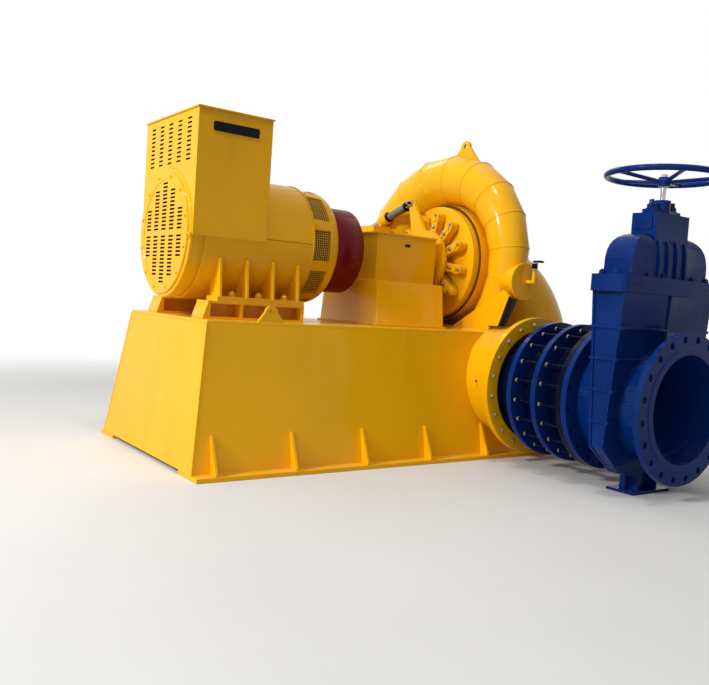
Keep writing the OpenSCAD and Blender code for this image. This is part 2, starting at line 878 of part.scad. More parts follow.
module regulating_ring() {
    color("gold") difference() {
        union() {
            shaft_disc(ring_x0, ring_t, ring_outer_r);
            along_x(ring_x0, ring_t) arm_outline();
            for (i = [0:lever_count - 1]) {
                a = i * 360 / lever_count + spindle_a;
                translate([ring_x0 + 5, ring_pin_circle_r * cos(a),
                           shaft_height + ring_pin_circle_r * sin(a)])
                    rotate([0, 90, 0]) cylinder(h = lever_x1 - 14 - ring_x0, r = ring_pin_r, $fn = 24);
            }
        }
        shaft_disc(ring_x0 - eps, ring_t + 2 * eps, gland_r + run_fit);
        translate([ring_x0 - eps, pin_y, pin_z]) rotate([0, 90, 0])
            cylinder(h = ring_t + 2 * eps, r = arm_pin_r, $fn = 32);
    }
}

module arm_outline() {
    u = [cos(arm_angle), sin(arm_angle)];
    v = [-sin(arm_angle), cos(arm_angle)];
    root = ring_outer_r - 20;
    points = [for (p = [[root, -arm_root_half], [arm_circle_r, -arm_boss_r],
                           [arm_circle_r, arm_boss_r], [root, arm_root_half]])
              [p[0] * u[0] + p[1] * v[0], shaft_height + p[0] * u[1] + p[1] * v[1]]];
    polygon(points);
    translate([pin_y, pin_z]) circle(r = arm_boss_r, $fn = 48);
}

// Lever on its guide vane spindle, with a fork at its inner end round the ring pin
module guide_lever(i) {
    a = (i - 1) * 360 / lever_count + spindle_a;
    inner = spindle_circle_r - ring_pin_circle_r;
    color("gold") translate([lever_x0, spindle_circle_r * cos(a), shaft_height + spindle_circle_r * sin(a)])
        rotate([a, 0, 0]) rotate([90, 0, 90]) difference() {
            linear_extrude(lever_x1 - lever_x0) difference() {
                union() {
                    circle(r = boss_r, $fn = 48);
                    translate([-inner - fork_tip, -lever_w / 2])
                        square([inner + fork_tip + lever_heel, lever_w]);
                    translate([lever_heel, 0]) circle(r = lever_w / 2, $fn = 48);
                }
                translate([-inner - fork_tip - eps, -ring_pin_r - slot_clear])
                    square([fork_tip + eps + fork_depth, 2 * (ring_pin_r + slot_clear)]);
            }
            translate([0, 0, -eps]) cylinder(h = far, r = spindle_r + run_fit, $fn = 32);
        }
}

module stay_ring() {
    color("goldenrod") shaft_turn([[0, stay_x0], [stay_ring_r, stay_x0], [stay_ring_r, stay_x1],
                                   [0, stay_x1]]);
}

// Point j of the ring of the spiral case at angle a
function case_point(a, j, grow) =
    let (r = case_r(a), b = j * 360 / case_sides, q = case_inner_r + r - (r + grow) * cos(b))
    [case_x + (r + grow) * sin(b), q * cos(a), shaft_height + q * sin(a)];

// Number of the case segment that holds the angle a
function segment_at(a) = floor((a - case_start) / case_step);

// Segments first to last of the spiral, its skin moved out by grow
module spiral_solid(first, last, grow) {
    n = case_sides;
    m = last - first;
    points = [for (i = [first:last]) for (j = [0:n - 1])
              case_point(case_start + i * case_step, j, grow)];
    sides = [for (i = [0:m - 1]) for (j = [0:n - 1])
             [i * n + j, (i + 1) * n + j, (i + 1) * n + (j + 1) % n, i * n + (j + 1) % n]];
    ends = [[for (j = [0:n - 1]) j], [for (j = [n - 1:-1:0]) m * n + j]];
    polyhedron(points, concat(sides, ends), convexity = 6);
}

module spiral_case() {
    color("gold") spiral_solid(0, case_segments, 0);
}

// Last straight stretch of the spiral, let into the top of the inlet pipe
module case_nose() {
    q = case_inner_r + case_r(case_end);
    color("gold") difference() {
        translate([case_x, q * cos(case_end), shaft_height + q * sin(case_end)])
            rotate([case_end, 0, 0])
            translate([0, 0, seat]) cylinder(h = nose_length, r = case_r(case_end), $fn = case_sides);
        inlet_disc(-far / 2, far, case_inlet_r + seat);
    }
}

module case_lifting_lug() {
    y = case_lug_y;
    z0 = shaft_height + case_inner_r + 2 * case_r(90) - case_lug_h / 2;
    z1 = z0 + case_lug_h;
    color("gold") difference() {
        along_x(case_x - case_lug_t / 2, case_lug_t) difference() {
            union() {
                polygon([[y - case_lug_base, z0], [y + case_lug_base, z0],
                         [y + case_lug_r - 4, z1], [y - case_lug_r + 4, z1]]);
                translate([y, z1 - 4]) circle(r = case_lug_r, $fn = 48);
            }
            translate([y, z1]) circle(r = case_lug_hole_r, $fn = 32);
        }
        spiral_solid(segment_at(90) - 1, segment_at(90) + 2, seat);
    }
}

// Plate from the deck to the end of the spiral, on its generator side
module case_web() {
    color("gold") difference() {
        along_x(web_x1 - web_t, web_t)
            polygon([[-web_toe, deck_height], [-web_reach + 13, web_top_z], [-web_reach - 43, web_tip_z],
                     [-web_reach + 37, web_foot_z], [-deck_width / 2, web_foot_z],
                     [-deck_width / 2, deck_height]]);
        inlet_disc(-far / 2, far, case_inlet_r + seat);
    }
}

module inlet_pipe() {
    color("gold") difference() {
        inlet_disc(-inlet_reach + inlet_flange_t, inlet_reach - inlet_flange_t, case_inlet_r);
        inlet_disc(-inlet_reach, passage_reach, case_inlet_r - pipe_wall);
    }
}

module inlet_flange() {
    color("gold") difference() {
        inlet_disc(-inlet_reach, inlet_flange_t, inlet_flange_r);
        inlet_disc(-inlet_reach - eps, inlet_flange_t + 2 * eps, case_inlet_r - pipe_wall);
        inlet_holes(-inlet_reach - eps, inlet_flange_t + 2 * eps, inlet_bolt_circle_r, inlet_hole_r);
    }
}

module inlet_seal() {
    color("#151515") difference() {
        inlet_disc(-inlet_reach + seal_recess, seal_t, case_inlet_r - pipe_wall);
        inlet_disc(-inlet_reach, seal_recess + seal_t + 2 * eps, sleeve_r);
    }
}

// Short branch with a blank end on the near side of the spiral
module side_nozzle() {
    color("gold") difference() {
        translate([case_x, -nozzle_y, nozzle_z]) rotate([-90, 0, 0]) {
            cylinder(h = nozzle_depth, r = nozzle_r);
            cylinder(h = nozzle_cap_t, r = nozzle_cap_r);
        }
        spiral_solid(segment_at(170) - 1, case_segments, seat);
    }
}

module vent_pipe() {
    y = -nozzle_y - vent_out;
    color("gold") difference() {
        union() {
            translate([vent_x, -nozzle_y, nozzle_z]) rotate([90, 0, 0])
                cylinder(h = vent_out, r = vent_r, $fn = 32);
            translate([vent_x, y, nozzle_z]) sphere(r = vent_r, $fn = 32);
            translate([vent_x, y, nozzle_z])
                cylinder(h = vent_body_z - nozzle_z + eps, r = vent_r, $fn = 32);
            translate([vent_x, y, vent_body_z])
                cylinder(h = vent_body_h, r = vent_r + vent_body_grow, $fn = 32);
        }
        translate([vent_x, y, vent_body_z + vent_body_h - vent_pin_h])
            cylinder(h = vent_pin_h + eps, r = vent_pin_r + run_fit, $fn = 32);
    }
}

module vent_valve_lever() {
    color("#202024") translate([vent_x, -nozzle_y - vent_out, vent_body_z + vent_body_h + seat]) {
        translate([0, 0, 1 - vent_pin_h]) cylinder(h = vent_pin_h, r = vent_pin_r, $fn = 32);
        cylinder(h = 11, r = 14, $fn = 32);
        translate([0, -8, 6]) cube([78, 16, 5]);
    }
}

// Station k of the draft tube: [X, Z, tilt, radius]
function draft_station(k) =
    k < 0 ? [stay_x1 + rear_cover_t, shaft_height, 0, draft_inlet_r]
          : let (a = k * 90 / draft_steps)
            [bend_x + bend_r * sin(a), draft_z + bend_r * cos(a), a,
             draft_inlet_r + (draft_outlet_r - draft_inlet_r) * a / 90];

function draft_point(s, j) =
    let (b = j * 360 / draft_sides)
    [s[0] + s[3] * cos(b) * sin(s[2]), s[3] * sin(b), s[1] + s[3] * cos(b) * cos(s[2])];

module draft_tube() {
    n = draft_sides;
    stations = concat([draft_station(-1)], [for (k = [0:draft_steps]) draft_station(k)],
                      [[draft_x, draft_flange_t, 90, draft_outlet_r]]);
    m = len(stations) - 1;
    points = [for (s = stations) for (j = [0:n - 1]) draft_point(s, j)];
    sides = [for (i = [0:m - 1]) for (j = [0:n - 1])
             [i * n + j, i * n + (j + 1) % n, (i + 1) * n + (j + 1) % n, (i + 1) * n + j]];
    ends = [[for (j = [n - 1:-1:0]) j], [for (j = [0:n - 1]) m * n + j]];
    color("gold") polyhedron(points, concat(sides, ends), convexity = 6);
}

module draft_tube_flanges() {
    color("gold") {
        shaft_turn([[0, stay_x1], [rear_lip_r, stay_x1], [rear_lip_r, stay_x1 + rear_lip_t],
                    [rear_neck_r, stay_x1 + rear_lip_t], [rear_neck_r, stay_x1 + rear_cover_t],
                    [0, stay_x1 + rear_cover_t]]);
        translate([draft_x, 0, 0]) difference() {
            cylinder(h = draft_flange_t, r = draft_outlet_r + draft_flange_w);
            for (i = [0:draft_bolts - 1]) rotate([0, 0, (i + 0.5) * 360 / draft_bolts])
                translate([draft_outlet_r + draft_bolt_in, 0, -eps])
                cylinder(h = draft_flange_t + 2 * eps, r = draft_hole_r, $fn = 24);
        }
    }
}

// Blue pipe that slides in the inlet flange and carries the joint rings
module joint_sleeve() {
    color("navy") difference() {
        union() {
            inlet_disc(valve_y1, -valve_y1 - inlet_reach + sleeve_reach, sleeve_r - run_fit);
            inlet_disc(valve_y1, valve_flange_t, valve_flange_r);
        }
        inlet_disc(valve_y1 - eps, far / 2, bore_r);
        inlet_holes(valve_y1 - eps, valve_flange_t + 2 * eps, valve_bolt_circle_r, bolt_hole_r);
    }
}

module joint_rings() {
    color("navy") for (y = [ring1_y, ring2_y]) difference() {
        inlet_disc(y - valve_flange_t, valve_flange_t, valve_flange_r);
        inlet_disc(y - valve_flange_t - eps, valve_flange_t + 2 * eps, sleeve_r);
        inlet_holes(y - valve_flange_t - eps, valve_flange_t + 2 * eps, valve_bolt_circle_r,
                    bolt_hole_r);
    }
}

module valve_body() {
    color("navy") difference() {
        union() {
            inlet_disc(valve_y0, valve_length, bore_r + barrel_wall);
            inlet_disc(valve_y0, valve_flange_t, valve_flange_r);
            inlet_disc(valve_y1 - valve_flange_t, valve_flange_t, valve_flange_r);
            valve_neck(0, 0);
            neck_ribs();
            bonnet_plate(bonnet_z - bonnet_flange_t, bonnet_flange_t / 2);
        }
        inlet_disc(valve_y0 - eps, valve_length + 2 * eps, bore_r);
        inlet_holes(valve_y0 - eps, valve_flange_t + 2 * eps, valve_bolt_circle_r, bolt_hole_r);
        inlet_holes(valve_y1 - valve_flange_t - eps, valve_flange_t + 2 * eps, valve_bolt_circle_r,
                    bolt_hole_r);
    }
}

// Flat housing of the gate, narrower across the water passage at its foot.
// It grows by grow_x at its ends and by grow_y on its broad faces.
module valve_neck(grow_x, grow_y) {
    z1 = bonnet_z - bonnet_flange_t + eps;
    half_x = neck_half_x + grow_x;
    intersection() {
        along_x(case_x - half_x, 2 * half_x) neck_profile(grow_y);
        along_y(valve_y - bonnet_half_y, 2 * bonnet_half_y)
            polygon([[case_x - half_x, neck_knee_z], [case_x - neck_sole_half, valve_sole_z],
                     [case_x + neck_sole_half, valve_sole_z], [case_x + half_x, neck_knee_z],
                     [case_x + half_x, z1], [case_x - half_x, z1]]);
    }
}

module neck_profile(grow) {
    polygon([[valve_y - neck_foot_half_y - grow, valve_sole_z],
             [valve_y + neck_foot_half_y + grow, valve_sole_z],
             [valve_y + neck_half_y + grow, bonnet_z - bonnet_flange_t + eps],
             [valve_y - neck_half_y - grow, bonnet_z - bonnet_flange_t + eps]]);
}

// Level ribs round the gate housing, rims along its ends and a rib up each broad face
module neck_ribs() {
    intersection() {
        valve_neck(neck_rib_out, neck_rib_out);
        for (i = [0:neck_rib_count - 1])
            translate([case_x - far / 2, valve_y - far / 2, neck_rib_z - i * neck_rib_pitch])
                cube([far, far, neck_rib_t]);
    }
    intersection() {
        valve_neck(neck_rib_out, 0);
        along_x(case_x - far / 2, far) difference() {
            neck_profile(0);
            neck_profile(-neck_rib_t);
        }
    }
    intersection() {
        valve_neck(0, neck_rib_out);
        translate([case_x - neck_rib_t / 2, valve_y - far / 2, inlet_z])
            cube([neck_rib_t, far, far]);
    }
}

// Flange plate with rounded corners
module bonnet_plate(z, t) {
    x = bonnet_half_x - bonnet_corner_r;
    y = bonnet_half_y - bonnet_corner_r;
    translate([case_x, valve_y, z]) linear_extrude(t) {
        square([2 * x, 2 * bonnet_half_y], center = true);
        square([2 * bonnet_half_x, 2 * y], center = true);
        for (i = [-1, 1]) for (j = [-1, 1]) translate([i * x, j * y])
            circle(r = bonnet_corner_r, $fn = 48);
    }
}

// Stool that carries the valve, its sole plate on the floor
module valve_foot() {
    web_z = valve_foot_plate - eps;
    color("navy") {
        translate([case_x - valve_foot_w / 2, valve_y - valve_foot_y / 2, 0])
            cube([valve_foot_w, valve_foot_y, valve_foot_plate]);
        translate([case_x - valve_foot_w / 2 + 30, valve_y - valve_foot_web / 2, web_z])
            cube([valve_foot_w - 60, valve_foot_web, valve_sole_z - web_z]);
        for (x = [-1, 1])
            translate([case_x + x * valve_foot_w / 4 - neck_rib_t / 2, valve_y - valve_foot_y / 3, web_z])
                cube([neck_rib_t, 2 * valve_foot_y / 3, (valve_sole_z - web_z) * 0.7]);
    }
}

// Arch with full shoulders, from a half width at its foot to a height
module dome_arch(half, h) {
    polygon([for (a = [0:10:180]) [sign(cos(a)) * half * pow(abs(cos(a)), 0.55),
                                   h * pow(sin(a), 0.55)]]);
}

// The dome of the bonnet, its skin moved out by grow
module dome(grow) {
    intersection() {
        translate([case_x, 0, bonnet_z - eps]) along_y(valve_y - bonnet_half_y, 2 * bonnet_half_y)
            dome_arch(dome_half_x + grow, dome_h + eps);
        translate([0, valve_y, bonnet_z - eps]) along_x(case_x - bonnet_half_x, 2 * bonnet_half_x)
            dome_arch(dome_half_y + grow, dome_h + 2 * eps);
    }
}

module valve_bonnet() {
    color("navy") {
        bonnet_plate(bonnet_z - bonnet_flange_t / 2, bonnet_flange_t / 2);
        dome(0);
        intersection() {
            dome(neck_rib_t);
            for (i = [0:dome_rib_count - 1])
                translate([case_x + (i - (dome_rib_count - 1) / 2) * dome_rib_pitch - neck_rib_t / 2,
                           valve_y - far / 2, bonnet_z - eps])
                    cube([neck_rib_t, far, far]);
        }
        translate([case_x - block_half_x, valve_y - block_half_y, bonnet_z + dome_h - block_h / 2])
            cube([2 * block_half_x, 2 * block_half_y, 1.5 * block_h]);
        translate([case_x - block_half_x - pad_t, valve_y - pad_half_y, bonnet_z + dome_h + 20])
            cube([2 * (block_half_x + pad_t), 2 * pad_half_y, block_h - 40]);
    }
}

module valve_gland() {
    z = bonnet_z + dome_h + block_h;
    color("navy") difference() {
        union() {
            translate([case_x, valve_y, z]) cylinder(h = gland_h, r = gland_body_r);
            translate([case_x - gland_half_x, valve_y - gland_half_y, z])
                cube([2 * gland_half_x, 2 * gland_half_y, gland_plate_t]);
        }
        translate([case_x, valve_y, z + gland_h - stem_depth])
            cylinder(h = stem_depth + eps, r = stem_r + run_fit);
    }
}

// Handwheel with dished spokes, on the stem
module valve_handwheel() {
    stem_z = bonnet_z + dome_h + block_h + gland_h - stem_depth + seat;
    rim_z = wheel_z + wheel_rise;
    spoke_z = wheel_z + 4;
    spoke_in = wheel_hub_r - 12;
    run = handwheel_r - spoke_in;
    color("#20305c") translate([case_x, valve_y, 0]) {
        translate([0, 0, stem_z]) cylinder(h = wheel_z - stem_z, r = stem_r);
        translate([0, 0, wheel_z - 22]) cylinder(h = wheel_hub_h, r = wheel_hub_r);
        translate([0, 0, rim_z]) rotate_extrude() translate([handwheel_r, 0])
            circle(r = wheel_rim_r, $fn = 24);
        for (i = [0:spoke_count - 1]) rotate([0, 0, i * 360 / spoke_count + 18])
            translate([spoke_in, 0, spoke_z]) rotate([0, 90 - atan2(rim_z - spoke_z, run), 0])
            cylinder(h = norm([rim_z - spoke_z, run]), r = wheel_spoke_r, $fn = 24);
    }
}

base_front_wall();
base_rear_wall();
base_end_walls();
base_deck();
base_foot_plates();
base_cross_beams();
base_gussets();
base_lifting_lugs();
generator_supports();
generator_feet();
generator_barrel();
generator_rear_ring();
generator_rear_cover();
terminal_box();
terminal_box_lid();
drive_end_shield();
air_screens();
flywheel();
main_shaft();
bearing_pedestal();
bearing_housing();
bearing_cover();
governor_stand();
servo_cylinder();
servo_rod();
head_cover();
shaft_gland();
regulating_ring();
stay_ring();
spiral_case();
case_nose();
case_lifting_lug();
case_web();
inlet_pipe();
inlet_flange();
inlet_seal();
side_nozzle();
vent_pipe();
vent_valve_lever();
draft_tube();
draft_tube_flanges();
joint_sleeve();
joint_rings();
valve_body();
valve_foot();
valve_bonnet();
valve_gland();
valve_handwheel();
for (i = [1:lever_count]) {
    guide_lever(i);
}
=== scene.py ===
"""Looks of a horizontal hydroelectric generating set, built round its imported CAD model."""

import json
import logging
import math
from dataclasses import dataclass, field
from enum import Enum
from typing import Callable, Optional, Sequence, Union

import bmesh
import bpy
from bpy.types import Material, NodeSocket, NodeTree, Object, ShaderNode
from mathutils import Matrix, Vector

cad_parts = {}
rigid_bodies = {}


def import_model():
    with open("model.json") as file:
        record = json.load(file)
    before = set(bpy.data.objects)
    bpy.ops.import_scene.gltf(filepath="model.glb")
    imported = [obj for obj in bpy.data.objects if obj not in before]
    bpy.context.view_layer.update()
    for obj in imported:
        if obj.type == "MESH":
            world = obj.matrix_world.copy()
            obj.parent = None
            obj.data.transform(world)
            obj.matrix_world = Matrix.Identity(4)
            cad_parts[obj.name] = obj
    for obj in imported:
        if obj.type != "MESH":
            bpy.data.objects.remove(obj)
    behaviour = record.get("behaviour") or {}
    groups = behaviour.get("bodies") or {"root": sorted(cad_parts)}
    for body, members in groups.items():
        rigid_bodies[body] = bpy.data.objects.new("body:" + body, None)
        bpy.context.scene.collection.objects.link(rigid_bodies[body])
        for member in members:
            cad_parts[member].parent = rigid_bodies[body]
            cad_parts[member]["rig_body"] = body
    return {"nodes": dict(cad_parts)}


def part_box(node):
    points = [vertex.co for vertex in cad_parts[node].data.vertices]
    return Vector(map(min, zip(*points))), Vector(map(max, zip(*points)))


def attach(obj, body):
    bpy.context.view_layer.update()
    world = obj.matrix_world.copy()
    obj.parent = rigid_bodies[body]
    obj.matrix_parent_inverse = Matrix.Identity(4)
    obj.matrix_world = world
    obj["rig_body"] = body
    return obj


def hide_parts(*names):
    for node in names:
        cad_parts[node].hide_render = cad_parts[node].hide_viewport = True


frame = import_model()

log = logging.getLogger("generating_set")

Colour = tuple[float, float, float, float]
Point = Sequence[float]
Number = Union[float, "Wire"]

MM = 0.001
SHARP_ANGLE = 35.0
SHELL_ANGLE = 30.0
WELD_DISTANCE = 2e-5
FLAT_ANGLE = 0.6
BEVEL_ANGLE = 38.0
SOFT_ANGLE = 40.0
FINE_TURN = 128

# Shares of a bolt's thread, and of a head's height and radius at its chamfer
WASHER_THICK, HEAD_HEIGHT, HEAD_ACROSS, STUD_R, STUD_TIP_R = 0.14, 0.8, 1.5, 0.5, 0.42
CHAMFER_HEIGHT, CHAMFER_R = 0.78, 0.82

# Directions: along the shaft toward the turbine, across it away from the inlet side, and up
ALONG = Vector((1.0, 0.0, 0.0))
ACROSS = Vector((0.0, 1.0, 0.0))
UP = Vector((0.0, 0.0, 1.0))


class Slot(Enum):
    """The record's material slots."""

    YELLOW = "yellow_paint"
    MAROON = "maroon_paint"
    BLUE = "blue_paint"
    DARK = "dark_paint"
    STEEL = "bare_steel"
    RUBBER = "black_rubber"


def srgb(red: int, green: int, blue: int) -> Colour:
    """Turns a screen colour into the linear colour that a shader takes.

    Args:
        red: Red from 0 to 255.
        green: Green from 0 to 255.
        blue: Blue from 0 to 255.

    Returns:
        The linear colour with an alpha of 1.
    """
    def linear(part: int) -> float:
        """One part of the colour, without the screen's curve."""
        share = part / 255
        return share / 12.92 if share <= 0.04045 else ((share + 0.055) / 1.055) ** 2.4

    return (linear(red), linear(green), linear(blue), 1.0)


def darker(colour: Colour, share: float) -> Colour:
    """The colour at a share of its brightness."""
    return (colour[0] * share, colour[1] * share, colour[2] * share, 1.0)


class Wire:
    """A node's output that stands in Python expressions and adds their Math nodes."""

    def __init__(self, nodes: "Nodes", socket: NodeSocket) -> None:
        """Wraps an output socket of a node tree."""
        self.nodes = nodes
        self.socket = socket

    def _math(self, operation: str, first: Number, second: Number) -> "Wire":
        """Adds one Math node."""
        return self.nodes.wire("ShaderNodeMath", 0, {0: first, 1: second}, operation=operation)

    def __add__(self, other: Number) -> "Wire":
        """Adds another number."""
        return self._math("ADD", self, other)

    def __sub__(self, other: Number) -> "Wire":
        """Takes another number away."""
        return self._math("SUBTRACT", self, other)

    def __rsub__(self, other: Number) -> "Wire":
        """Takes this number away from another."""
        return self._math("SUBTRACT", other, self)

    def __mul__(self, other: Number) -> "Wire":
        """Multiplies by another number."""
        return self._math("MULTIPLY", self, other)

    def peak(self, other: Number) -> "Wire":
        """The larger of two numbers."""
        return self._math("MAXIMUM", self, other)

    def step(self, low: float, high: float, bottom: float = 0.0, top: float = 1.0) -> "Wire":
        """A smooth step from bottom at low to top at high."""
        return self.nodes.wire(
            "ShaderNodeMapRange", "Result",
            {"Value": self, "From Min": low, "From Max": high, "To Min": bottom, "To Max": top},
            interpolation_type="SMOOTHSTEP")


class Nodes:
    """A node tree to which nodes are added."""

    def __init__(self, tree: NodeTree) -> None:
        """Wraps the node tree of a material or a world."""
        self.tree = tree
        self._coordinates = self.node("ShaderNodeTexCoord")

    def node(self, kind: str, inputs: Optional[dict] = None, **settings: object) -> ShaderNode:
        """Adds a node.

        Args:
            kind: The node's type.
            inputs: Values or links by socket name or number.
            **settings: Its properties, which are set first.

        Returns:
            The new node.
        """
        made = self.tree.nodes.new(kind)
        for key, value in settings.items():
            setattr(made, key, value)
        for key, value in (inputs or {}).items():
            self.feed(made.inputs[key], value)
        return made

    def wire(self, kind: str, output: Union[int, str], inputs: dict, **settings: object) -> Wire:
        """Adds a node and takes up one of its outputs, by name or number."""
        return Wire(self, self.node(kind, inputs, **settings).outputs[output])

    def feed(self, socket: NodeSocket, value: object) -> None:
        """Links a wire to an input socket, or sets the socket's value."""
        if isinstance(value, Wire):
            self.tree.links.new(value.socket, socket)
        else:
            socket.default_value = value

    def coordinates(self, kind: str) -> Wire:
        """An output of the Texture Coordinate node."""
        return Wire(self, self._coordinates.outputs[kind])

    def along(self, kind: str, direction: Point) -> Wire:
        """How far a coordinate points along a direction."""
        return self.wire("ShaderNodeVectorMath", "Value",
                         {0: self.coordinates(kind), 1: tuple(direction)}, operation="DOT_PRODUCT")


class Graph(Nodes):
    """The node tree of one material."""

    def __init__(self, name: str) -> None:
        """Starts a material of this name with a Principled shader."""
        self.material = bpy.data.materials.new(name)
        self.material.use_nodes = True
        super().__init__(self.material.node_tree)
        self.shader = self.tree.nodes["Principled BSDF"]

    def _place(self, stretch: Point = (1, 1, 1)) -> Wire:
        """The object's own coordinates, stretched."""
        return self.wire("ShaderNodeMapping", "Vector",
                         {"Vector": self.coordinates("Object"), "Scale": stretch})

    def distance(self) -> Wire:
        """Distance from the object's origin."""
        return self.wire("ShaderNodeVectorMath", "Value", {0: self.coordinates("Object")},
                         operation="LENGTH")

    def noise(self, scale: float, detail: float = 2.0, rough: float = 0.5,
              stretch: Point = (1, 1, 1)) -> Wire:
        """A noise from 0 to 1 with a number of features in each metre."""
        return self.wire("ShaderNodeTexNoise", "Fac",
                         {"Vector": self._place(stretch), "Scale": scale, "Detail": detail,
                          "Roughness": rough})

    def cells(self, scale: float) -> Wire:
        """A different grey in each of many small cells."""
        patches = self.wire("ShaderNodeTexVoronoi", "Color",
                            {"Vector": self._place(), "Scale": scale})
        return self.wire("ShaderNodeSeparateColor", 0, {"Color": patches})

    def blend(self, share: Number, first: object, second: object) -> Wire:
        """Mixes two colours."""
        return self.wire("ShaderNodeMix", 2, {0: share, 6: first, 7: second}, data_type="RGBA")

    def bump(self, height: Wire, distance: float) -> Wire:
        """A normal for a relief of the given height in metres."""
        return self.wire("ShaderNodeBump", "Normal",
                         {"Height": height, "Distance": distance, "Strength": 1.0})

    def set(self, **values: object) -> None:
        """Feeds the shader's sockets, with underscores for the spaces in their names."""
        for name, value in values.items():
            self.feed(self.shader.inputs[name.replace("_", " ")], value)


@dataclass(frozen=True)
class Finish:
    """A surface finish that makes its own material."""

    name: str
    colour: Colour

    def lay(self, g: Graph) -> None:
        """Adds the finish's nodes to a material's graph.

        Args:
            g: The material's graph.
        """
        raise NotImplementedError

    def material(self) -> Material:
        """The finish's material, made at its first use."""
        found = bpy.data.materials.get(self.name)
        if found is None:
            graph = Graph(self.name)
            self.lay(graph)
            found = graph.material
        return found


@dataclass(frozen=True)
class Enamel(Finish):
    """Sprayed machine enamel over primer, with dust, dulled patches and small chips."""

    roughness: float = 0.3
    coat: float = 0.2
    specular: float = 0.08
    mottle: float = 0.12
    peel: float = 0.35 * MM
    dust: float = 0.2
    chips: float = 1.0
    primer: Colour = srgb(74, 62, 50)
    dust_colour: Colour = srgb(196, 186, 166)

    def lay(self, g: Graph) -> None:
        """Lays the paint with its patches and runs, then dust, then chips.

        Args:
            g: The material's graph.
        """
        patches = g.noise(1.3, 3.0).step(0.35, 0.7) * self.mottle * 2.2
        runs = g.noise(7.0, 3.0, 0.55, (1.0, 1.0, 0.12)).step(0.52, 0.72) * self.mottle
        tone = g.blend(patches, self.colour, darker(self.colour, 0.7))
        tone = g.blend(runs, tone, darker(self.colour, 0.55))
        middle = g.noise(9.0, 4.0, 0.6)
        upward = g.along("Normal", UP).step(0.45, 0.95)
        settled = upward * middle.step(0.35, 0.75) * self.dust
        film = g.noise(60.0, 5.0, 0.65).step(0.5, 0.75) * (self.dust * 0.22)
        dusty = settled.peak(film)
        chipped = g.noise(34.0, 6.0, 0.7).step(0.725, 0.745) * self.chips
        tone = g.blend(chipped, g.blend(dusty, tone, self.dust_colour), self.primer)
        skin = g.noise(150.0) + middle * 1.5 - chipped * 0.8
        g.set(Base_Color=tone,
              Roughness=middle * 0.14 + dusty * 0.5 + chipped * 0.3 + (self.roughness - 0.07),
              Coat_Weight=(1.0 - chipped) * self.coat, Coat_Roughness=0.08,
              Specular_IOR_Level=self.specular, Normal=g.bump(skin, self.peel))


@dataclass(frozen=True)
class CastEnamel(Finish):
    """Thick glossy enamel over a sand casting, with its slow waves and pitted skin."""

    roughness: float = 0.2
    coat: float = 0.1
    specular: float = 0.05
    waves: float = 2.6 * MM
    scuff: Colour = srgb(70, 88, 132)
    dust: Colour = srgb(170, 166, 156)

    def lay(self, g: Graph) -> None:
        """Lays the paint with its scuffs and dust over the casting's relief.

        Args:
            g: The material's graph.
        """
        slow = g.noise(3.0)
        lumps = g.noise(22.0, 4.0, 0.55)
        pits = g.noise(120.0, 3.0, 0.6)
        scuffed = g.noise(16.0, 6.0, 0.75).step(0.66, 0.72)
        dusty = g.along("Normal", UP).step(0.5, 1.0) * lumps.step(0.4, 0.8) * 0.1
        tone = g.blend(slow.step(0.3, 0.75) * 0.5, self.colour, darker(self.colour, 0.6))
        tone = g.blend(dusty, g.blend(scuffed * 0.16, tone, self.scuff), self.dust)
        g.set(Base_Color=tone,
              Roughness=pits * 0.12 + scuffed * 0.3 + dusty * 0.6 + self.roughness,
              Coat_Weight=(1.0 - scuffed) * self.coat, Coat_Roughness=0.05,
              Specular_IOR_Level=self.specular,
              Normal=g.bump(slow * 1.2 + lumps * 0.7 + pits * 0.12, self.waves))


@dataclass(frozen=True)
class TurnedSteel(Finish):
    """Bare steel turned in a lathe or drawn, with fine lines round or along it."""

    lines: Point = (220.0, 6.0, 6.0)
    roughness: float = 0.28
    stain: float = 0.25
    rust: Colour = srgb(96, 78, 58)

    def lay(self, g: Graph) -> None:
        """Lays the steel with its lines and stains.

        Args:
            g: The material's graph.
        """
        lines = g.noise(1.0, stretch=self.lines)
        patches = g.noise(14.0, 4.0, 0.6)
        tone = g.blend(lines.step(0.3, 0.7) * 0.3, self.colour, darker(self.colour, 0.6))
        g.set(Base_Color=g.blend(patches.step(0.5, 0.8) * self.stain, tone, self.rust),
              Metallic=1.0, Roughness=lines * 0.16 + patches * 0.2 + (self.roughness - 0.1),
              Normal=g.bump(lines, 0.08 * MM))


@dataclass(frozen=True)
class ZincPlate(Finish):
    """Galvanised fastener steel with small crystal patches and dull spots."""

    spots: Colour = srgb(120, 112, 96)

    def lay(self, g: Graph) -> None:
        """Lays the zinc.

        Args:
            g: The material's graph.
        """
        crystals = g.cells(160.0)
        dull = g.noise(40.0, 4.0, 0.6)
        tone = g.blend(crystals * 0.35, self.colour, darker(self.colour, 0.62))
        g.set(Base_Color=g.blend(dull.step(0.55, 0.8) * 0.5, tone, self.spots),
              Metallic=0.85, Roughness=dull * 0.25 + 0.3,
              Normal=g.bump(crystals + dull, 0.1 * MM))


@dataclass(frozen=True)
class MouldedRubber(Finish):
    """Dull black rubber with a faint bloom."""

    bloom: Colour = srgb(58, 56, 54)

    def lay(self, g: Graph) -> None:
        """Lays the rubber.

        Args:
            g: The material's graph.
        """
        bloomed = g.noise(11.0, 4.0, 0.6).step(0.45, 0.8) * 0.3
        grain = g.noise(240.0)
        g.set(Base_Color=g.blend(bloomed, self.colour, self.bloom),
              Roughness=grain * 0.2 + 0.62, Normal=g.bump(grain, 0.12 * MM))


